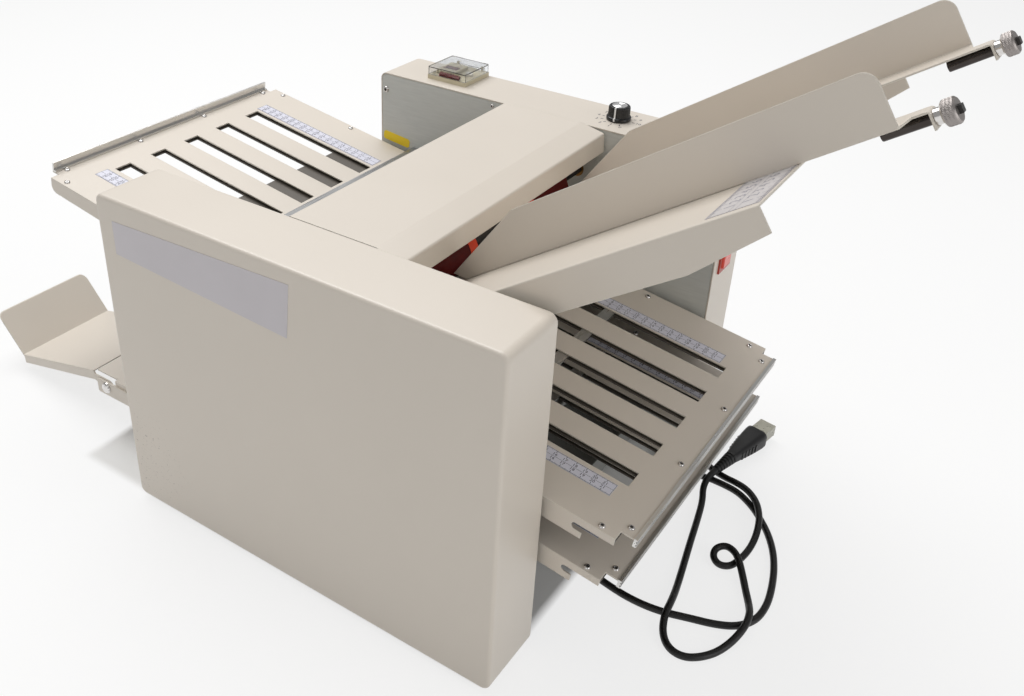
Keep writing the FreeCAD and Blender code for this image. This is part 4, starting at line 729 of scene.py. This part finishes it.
# The finish of each node that stays as it is packed.
NODE_FINISHES = {
    "front": ("front_cover",),
    "cover": ("rear_cover", "feed_table", "near_guide", "far_guide", "top_hood", "left_fold_plate",
              "upper_fold_plate", "lower_fold_plate", "exit_deck", "exit_tray", "exit_bracket", "feed_deck"),
    "inner": ("front_side_frame", "rear_side_frame", "paper_deflector"),
    "base": ("base_plate",),
    "under": ("under_sheets",),
    "steel": ("cross_bars", "frame_studs", "hood_pins", "left_paper_stop", "upper_paper_stop",
              "lower_paper_stop", "motor_pulley"),
    "dark_steel_and_recess_shade": ("feed_shaft",),
    "rail": ("end_rails",),
    "chrome": ("near_clamp_knob", "far_clamp_knob"),
    "roller": tuple(f"fold_roller_{number}" for number in range(1, 7)),
    "gear": tuple(f"fold_gear_{number}" for number in range(1, 7)) + ("feed_pulley",),
    "tyre": ("feed_tyres",),
    "side_tyre": ("side_tyres",),
    "pad": ("separator_pads",),
    "foot": ("rubber_feet",),
    "belt": ("drive_belts",),
    "bronze": ("roller_bearings",),
    "motor": ("drive_motor",),
    "cream": ("counter_case",),
    "window": ("counter_window",),
    "lid": ("counter_lid",),
    "button": ("reset_button",),
    "knob": ("speed_knob",),
    "rocker_rim": ("switch_bezel",),
    "bezel": ("cord_gland",),
    "rocker": ("power_rocker",),
    "pin_cover": ("plug_pin_cover",),
    "cord": ("power_cord",),
    "plug": ("power_plug",),
}


# The tray's pivot screw has its head on the near side of this depth.
PIVOT_HEAD_FROM = -0.17705


class FOLDER_OT_finishes(bpy.types.Operator):
    """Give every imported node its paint, metal, rubber or plastic"""

    bl_idname = "folder.finishes"
    bl_label = "Finishes"

    def execute(self, context):
        dressed = set()
        for key, names in NODE_FINISHES.items():
            for name in names:
                mesh = NODES[name].data
                mesh.materials.clear()
                mesh.materials.append(finish_of(key))
                dressed.add(name)
        bracket = NODES["exit_bracket"].data
        bracket.materials.append(finish_of("chrome"))
        for face in bracket.polygons:
            if face.center.y < PIVOT_HEAD_FROM:
                face.material_index = 1
        bare = sorted(set(NODES) - dressed)
        if bare:
            raise RuntimeError(f"nodes without a finish: {bare}")
        return {"FINISHED"}


# Rulers on the plates: name, plate, start, end, near edge, far edge, first number and its turn.
PLATE_RULERS = (
    ("left_ruler_near", LEFT_PLATE, 0.071, 0.254, -0.1325, -0.1155, 9, math.pi),
    ("left_ruler_far", LEFT_PLATE, 0.073, 0.254, 0.113, 0.130, 9, math.pi),
    ("upper_ruler_near", UPPER_PLATE, -0.036, 0.107, -0.131, -0.115, 8, 0),
    ("upper_ruler_far", UPPER_PLATE, -0.037, 0.106, 0.111, 0.128, 8, 0),
    ("lower_ruler_near", LOWER_PLATE, -0.036, 0.107, -0.131, -0.115, 8, 0),
    ("lower_ruler_far", LOWER_PLATE, -0.037, 0.106, 0.111, 0.128, 8, 0),
)
# The table's ruler lies across: place up the table, half length and half width.
TABLE_RULER = (0.298, 0.163, 0.020)


class FOLDER_OT_rulers(bpy.types.Operator):
    """Stick the centimetre rulers on the fold plates and the feed table"""

    bl_idname = "folder.rulers"
    bl_label = "Rulers"

    def execute(self, context):
        trim = context.scene.folder_trim
        for name, plate, *shape in PLATE_RULERS:
            make_ruler(name, plate, *shape, trim)
        place, reach, half = TABLE_RULER
        spin = Matrix.Translation((place, 0, 0)) @ Matrix.Rotation(math.radians(90), 4, "Z")
        make_ruler("table_ruler", TABLE @ spin, -reach, reach, -half, half, 0, 0, trim,
                   ("table_film", "faint_ink"), (0.44, 0.56))
        return {"FINISHED"}


# A low domed screw head and its recess, whose near-black floor is painted shade: shares of the head's radius
# outward and upward.
SCREW_DOME = ((1, 0), (0.98, 0.16), (0.86, 0.38), (0.72, 0.5), (0.54, 0.54), (0.45, 0.5), (0.4, 0.2))
SCREW_RECESS = ((0.42, 0.22), (0.02, 0.2))
# Screws by plate: places along it and across it, first the row at the rail, then those at the sides.
LEFT_RAIL_SCREWS = (0.279, (-0.148, -0.048, 0.049, 0.150))
LEFT_SIDE_SCREWS = ((0.259, 0.148), (-0.164, 0.165))
RIGHT_RAIL_SCREWS = (0.1375, (-0.150, -0.052, 0.047, 0.146))
RIGHT_SIDE_SCREWS = ((0.118, 0.0), (-0.165, 0.162))
LOWER_SCREW_SHIFT = 0.003
# Screws of the rear frame: place along the machine and height.
FRAME_SCREWS = ((-0.162, 0.3264), (-0.162, 0.05), (0.25, 0.32))
FRAME_SCREW_RADIUS = 0.0040
SMALL_SCREWS = ((-0.0144, 0.3397),)
SMALL_SCREW_RADIUS = 0.0024


def scaled(pairs, radius):
    """Shares of a radius turned into lengths."""
    return [(radius * outward, radius * upward) for outward, upward in pairs]


def make_rivets(name, plate, places, radius):
    """Chrome screws whose recess floor is coloured near-black as painted shade, standing on a plate."""
    mould = Mould()
    for x, y in places:
        mould.lathe(scaled(SCREW_DOME, radius), 20, 0, plate @ Matrix.Translation((x, y, 0)))
        mould.lathe(scaled(SCREW_RECESS, radius), 6, 1, plate @ Matrix.Translation((x, y, 0.00001)))
    mould.finish(name, "chassis", "steel", ("chrome", "dark_steel_and_recess_shade"))


def plate_screws(rail, sides):
    """Places of a plate's screws."""
    along, across = rail
    return [(along, y) for y in across] + [(x, y) for x in sides[0] for y in sides[1]]


class FOLDER_OT_rivets(bpy.types.Operator):
    """Set the small domed screws of the plates and the rear frame"""

    bl_idname = "folder.rivets"
    bl_label = "Rivets"

    def execute(self, context):
        radius = context.scene.folder_trim.rivet
        left = plate_screws(LEFT_RAIL_SCREWS, LEFT_SIDE_SCREWS)
        make_rivets("left_plate_screws", LEFT_PLATE, left, radius)
        right = plate_screws(RIGHT_RAIL_SCREWS, RIGHT_SIDE_SCREWS)
        make_rivets("upper_plate_screws", UPPER_PLATE, right, radius)
        lower = [(x - LOWER_SCREW_SHIFT, y) for x, y in right]
        make_rivets("lower_plate_screws", LOWER_PLATE, lower, radius)
        inner = axes_matrix((0, FRAME_FACE, 0), (1, 0, 0), (0, 0, 1), (0, -1, 0))
        make_rivets("frame_screws", inner, FRAME_SCREWS, FRAME_SCREW_RADIUS)
        make_rivets("frame_small_screws", inner, SMALL_SCREWS, SMALL_SCREW_RADIUS)
        return {"FINISHED"}


# The front label's corners, along the machine and in height.
FRONT_LABEL = ((-0.142, 0.328), (-0.142, 0.295), (0.062, 0.284), (0.067, 0.336))
# The yellow label: length, width and corner radius, its middle and its lean.
YELLOW_LABEL = (0.0385, 0.0110, 0.0035)
YELLOW_LABEL_PLACE = (-0.1468, 0.177, 0.2672)
YELLOW_LABEL_LEAN = math.radians(6.7)
LABEL_SINK = -0.00005


class FOLDER_OT_labels(bpy.types.Operator):
    """Stick the bare front label and the bare yellow label"""

    bl_idname = "folder.labels"
    bl_label = "Bare labels"

    def execute(self, context):
        trim = context.scene.folder_trim
        front = axes_matrix((0, COVER_FACE, 0), (1, 0, 0), (0, 0, 1), (0, -1, 0))
        mould = Mould()
        mould.slab(FRONT_LABEL, LABEL_SINK, trim.strip, 0, front)
        mould.finish("front_label", "chassis", None, ("label",))
        fall, rise = math.sin(YELLOW_LABEL_LEAN), math.cos(YELLOW_LABEL_LEAN)
        rear = axes_matrix(YELLOW_LABEL_PLACE, (rise, 0, -fall), (fall, 0, rise), (0, -1, 0))
        mould = Mould()
        mould.slab(rounded_outline(*YELLOW_LABEL), LABEL_SINK, trim.strip, 0, rear)
        mould.finish("yellow_label", "chassis", None, ("warning",))
        return {"FINISHED"}


# The speed knob's axis where it meets the rear cover, and its pointer's turn from +X.
KNOB_AXIS = (0.123, 0.212, 0.3465)
POINTER_TURN = math.radians(-87)
# The knob from its foot to the middle of its top: radius, height and share of the ribs' depth.
KNOB_PROFILE = (
    (0.0126, 0.0004, 0), (0.0132, 0.0010, 0), (0.0132, 0.0036, 0), (0.0127, 0.0042, 0), (0.0115, 0.0046, 0.3),
    (0.0113, 0.0060, 1), (0.0112, 0.0136, 1), (0.0111, 0.0150, 0.5), (0.0106, 0.0157, 0), (0.0098, 0.0159, 0),
    (0.0086, 0.01575, 0), (0.0002, 0.01575, 0),
)
KNOB_RIBS = 30
KNOB_RIB_DEPTH = 0.00035
DISC_PROFILE = ((0.0081, 0.01575), (0.0081, 0.0161), (0.0077, 0.0164), (0.0003, 0.0164))
DISC_RINGS = (0.0022, 0.0039, 0.0056)
POINTER_LINE = ((0.0082, 0.0160), (0.0112, 0.0160), (0.01165, 0.0152), (0.01165, 0.0049), (0.0134, 0.0043),
                (0.0134, 0.0016))
POINTER_HALF = 0.0009
# The dial round the knob: a mark's two radii and half width, and a figure's radius and height.
DIAL_MARKS = 11
DIAL_START = math.radians(-60)
DIAL_STEP = math.radians(-30)
DIAL_MARK = (0.0160, 0.0190, 0.0005)
DIAL_FIGURE = (0.0232, 0.0062)
# The counter's display: corners of its face, and how far its back lies to the rear and below.
DISPLAY_FACE = ((-0.0985, 0.1936, 0.3534), (-0.0712, 0.1936, 0.3534), (-0.0712, 0.1975, 0.3560),
                (-0.0985, 0.1975, 0.3560))
DISPLAY_DEPTH = (0.0012, 0.0018)


def make_speed_knob(top):
    """The moulded speed knob: a skirt and a finely ribbed cap with a rolled rim."""
    rings = []
    for radius, height, share in KNOB_PROFILE:
        depth = KNOB_RIB_DEPTH * share
        rings.append(polar_ring(240, height, lambda angle: radius + depth * math.cos(KNOB_RIBS * angle)))
    mould = Mould()
    mould.loft(rings, 0, top)
    knob = mould.finish("speed_knob_cap", "knob", "black_plastic", ("knob",), 40)
    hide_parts("speed_knob")


class FOLDER_OT_counter(bpy.types.Operator):
    """Set the sloping dark red display at the front of the sheet counter"""

    bl_idname = "folder.counter"
    bl_label = "Counter display"

    def execute(self, context):
        mould = Mould()
        rearward, down = DISPLAY_DEPTH
        back = [(x, y + rearward, z - down) for x, y, z in DISPLAY_FACE]
        mould.loft([DISPLAY_FACE, back])
        mould.finish("counter_display", "chassis", "red_plastic", ("display",))
        return {"FINISHED"}


class FOLDER_OT_dial(bpy.types.Operator):
    """Print the speed scale and trim the knob with its disc and pointer"""

    bl_idname = "folder.dial"
    bl_label = "Speed dial"

    def execute(self, context):
        trim = context.scene.folder_trim
        top = axes_matrix(KNOB_AXIS, (1, 0, 0), (0, 1, 0), (0, 0, 1))
        mould = Mould()
        inner, outer, half = DIAL_MARK
        reach, tall = DIAL_FIGURE
        for step in range(DIAL_MARKS):
            angle = DIAL_START + step * DIAL_STEP
            tick = top @ Matrix.Rotation(angle, 4, "Z")
            print_bar(mould, inner, -half, outer, half, trim.print_lift, tick, 0)
            print_figure(mould, str(step), math.cos(angle) * reach, math.sin(angle) * reach, tall,
                         trim.print_lift, top, 0)
        mould.finish("speed_scale", "chassis", None, ("ink",))
        make_speed_knob(top)
        mould = Mould()
        mould.lathe(DISC_PROFILE, 40, 0, top)
        face = DISC_PROFILE[-1][1]
        for radius in DISC_RINGS:
            ring = [(radius, face), (radius + 0.0003, face + 0.00015), (radius + 0.0006, face)]
            mould.lathe(ring, 40, 0, top, closed_ends=False)
        mould.finish("knob_disc", "knob", "aluminium", ("disc",))
        pointer = Mould()
        lean = top @ Matrix.Rotation(POINTER_TURN, 4, "Z")
        points = [(reach, side * POINTER_HALF, height) for reach, height in POINTER_LINE for side in (-1, 1)]
        faces = [(2 * i, 2 * i + 2, 2 * i + 3, 2 * i + 1) for i in range(len(POINTER_LINE) - 1)]
        pointer.add(points, faces, 0, lean)
        pointer.finish("knob_pointer", "knob", None, ("white",))
        return {"FINISHED"}


# The clamp knobs: their axis below the table's surface, the barrel, and where its neighbours begin.
CLAMP_DROP = 0.0047
BARREL_RADIUS = 0.00902
BARREL_LENGTH = 0.0074
BARREL_RIM = 0.0088
BARREL_CHAMFER = 0.0013
NECK_LENGTH = 0.006
KNURL_RIDGES = 56
# Turn of the knurl's ridges for each metre along the barrel, in radians.
KNURL_LEAN = 700


def knurled_sleeve(name, body, centre, direction, depth):
    """The clamp knob's knurled barrel: two crossing sets of fine ridges."""
    rows, length = 34, BARREL_LENGTH
    turn = direction.to_track_quat("Z", "X").to_matrix().to_4x4()
    place = Matrix.Translation(centre) @ turn
    rings = []
    for row in range(rows + 1):
        height = -length / 2 + length * row / rows
        fade = min(1, row / 3, (rows - row) / 3)
        swing = height * KNURL_LEAN

        def reach(angle):
            first = abs(math.sin(KNURL_RIDGES / 2 * angle + swing))
            second = abs(math.sin(KNURL_RIDGES / 2 * angle - swing))
            return BARREL_RADIUS + depth * (first * second) * fade

        rings.append(polar_ring(220, height, reach))
    mould = Mould()
    mould.loft(rings, 0, place)
    return mould.finish(name, body, "chrome", ("nickel",), 60)


class FOLDER_OT_knobs(bpy.types.Operator):
    """Knurl the two clamp knobs"""

    bl_idname = "folder.knobs"
    bl_label = "Clamp knobs"

    def execute(self, context):
        depth = context.scene.folder_trim.knurl
        direction = Vector((math.cos(TABLE_SLOPE), 0, math.sin(TABLE_SLOPE)))
        for side in ("near", "far"):
            node = f"{side}_clamp_knob"
            mesh = NODES[node].data
            low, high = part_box(node)
            axis_point = TABLE @ Vector((0, (low.y + high.y) / 2, -CLAMP_DROP))
            rim = []
            for vertex in mesh.vertices:
                offset = vertex.co - axis_point
                along = offset.dot(direction)
                if (offset - direction * along).length > BARREL_RIM:
                    rim.append(along)
            centre = axis_point + direction * ((min(rim) + max(rim)) / 2)
            for key in ("rod", "dark_steel_and_recess_shade", "nickel"):
                mesh.materials.append(finish_of(key))
            for face in mesh.polygons:
                along = (face.center - axis_point).dot(direction)
                if along > max(rim) + BARREL_CHAMFER:
                    face.material_index = 2
                elif along > max(rim):
                    face.material_index = 3
                # Faces behind the neck are the rod, coloured near-black as a painted dark reflection.
                elif along < min(rim) - NECK_LENGTH:
                    face.material_index = 1
            knurled_sleeve(f"{side}_knurl", f"{side}_knob", centre, direction, depth)
        return {"FINISHED"}


# Half the floor's width, and the share of its look that glows by itself.
FLOOR_REACH = 14
FLOOR_GLOW = 0.76
# Half the length and width of the floor that lies in the dark below the machine, and its soft edge.
DARK_FLOOR = (("X", 0.265), ("Y", 0.242))
DARK_EDGE = 0.01
# Lamps: name, place, what they face, diameter and the setting that holds the power.
LAMPS = (("key_lamp", (-0.9, 0.5, 2.3), (0.0, 0.0, 0.2), 2.2, "key"),
         ("fill_lamp", (0.6, -2.4, 1.2), (0.0, 0.0, 0.2), 1.8, "fill"),
         ("side_lamp", (2.5, -0.3, 1.0), (0.1, -0.1, 0.2), 1.6, "side"))


def under_machine(finish):
    """One on the floor below the covers, nothing elsewhere."""
    split = finish.nodes.new("ShaderNodeSeparateXYZ")
    finish.link(finish.place, split.inputs[0])
    inside = [finish.remap(finish.maths("ABSOLUTE", split.outputs[axis]), reach - DARK_EDGE, reach, 1, 0)
              for axis, reach in DARK_FLOOR]
    return finish.maths("MULTIPLY", *inside)


def make_floor(stage):
    """A pale floor that glows for what looks at it and keeps the shadow."""
    mesh = bpy.data.meshes.new("floor")
    reach = FLOOR_REACH
    corners = [(-reach, -reach, 0), (reach, -reach, 0), (reach, reach, 0), (-reach, reach, 0)]
    mesh.from_pydata(corners, [], [(0, 1, 2, 3)])
    floor = placed("floor", mesh)
    pale = Finish("pale_floor", tuple(stage.floor), 0.9)
    pale.mottle(3, 0.004)
    glow = pale.nodes.new("ShaderNodeEmission")
    glow.inputs["Strength"].default_value = 1.0
    path = pale.nodes.new("ShaderNodeLightPath")
    seen = path.outputs["Is Camera Ray"]
    for ray in ("Is Glossy Ray", "Is Transmission Ray"):
        seen = pale.maths("MAXIMUM", seen, path.outputs[ray])
    share = pale.maths("MULTIPLY", seen, pale.remap(under_machine(pale), 0, 1, FLOOR_GLOW, 0))
    both = pale.nodes.new("ShaderNodeMixShader")
    pale.link(share, both.inputs[0])
    pale.link(pale.shader.outputs[0], both.inputs[1])
    pale.link(glow.outputs[0], both.inputs[2])
    output = next(node for node in pale.nodes if node.type == "OUTPUT_MATERIAL")
    pale.link(both.outputs[0], output.inputs["Surface"])
    mesh.materials.append(pale.material)


class FOLDER_OT_stage(bpy.types.Operator):
    """Lay the pale floor and set the lamps"""

    bl_idname = "folder.stage"
    bl_label = "Stage"

    def execute(self, context):
        stage = context.scene.folder_stage
        make_floor(stage)
        world = bpy.data.worlds.new("surround")
        world.use_nodes = True
        ground = world.node_tree.nodes["Background"]
        ground.inputs["Color"].default_value = (1, 1, 1, 1)
        ground.inputs["Strength"].default_value = stage.sky
        context.scene.world = world
        for name, place, target, size, setting in LAMPS:
            data = bpy.data.lights.new(name, "AREA")
            data.shape = "DISK"
            data.size = size
            data.energy = getattr(stage, setting)
            lamp = placed(name, data)
            lamp.location = place
            lamp.rotation_euler = (Vector(place) - Vector(target)).to_track_quat("Z", "Y").to_euler()
        context.scene.view_settings.view_transform = "Standard"
        return {"FINISHED"}


class FOLDER_PT_panel(bpy.types.Panel):
    """Lists the machine's sizes, colours and pieces"""

    bl_idname = "FOLDER_PT_panel"
    bl_label = "Paper folding machine"
    bl_space_type = "VIEW_3D"
    bl_region_type = "UI"
    bl_category = "Folder"

    def draw(self, context):
        for group in (getattr(context.scene, name) for name in GROUPS):
            for key in group.bl_rna.properties.keys():
                if key not in ("rna_type", "name"):
                    self.layout.prop(group, key)
        for item in OPERATORS:
            self.layout.operator(item.bl_idname)


OPERATORS = (FOLDER_OT_camera, FOLDER_OT_cord, FOLDER_OT_finishes, FOLDER_OT_rulers, FOLDER_OT_rivets,
             FOLDER_OT_labels, FOLDER_OT_counter, FOLDER_OT_dial, FOLDER_OT_knobs, FOLDER_OT_stage)
GROUPS = {"folder_paint": FolderPaint, "folder_trim": FolderTrim, "folder_stage": FolderStage}
CLASSES = (*GROUPS.values(), *OPERATORS, FOLDER_PT_panel)


def register():
    for item in CLASSES:
        bpy.utils.register_class(item)
    for name, group in GROUPS.items():
        setattr(bpy.types.Scene, name, bpy.props.PointerProperty(type=group))


def unregister():
    for name in GROUPS:
        delattr(bpy.types.Scene, name)
    for item in reversed(CLASSES):
        bpy.utils.unregister_class(item)


def main():
    register()
    make_finishes()
    for node in NODES.values():
        smooth(node.data, 30)
    for item in OPERATORS:
        group, name = item.bl_idname.split(".")
        getattr(getattr(bpy.ops, group), name)()


if __name__ == "__main__":
    main()
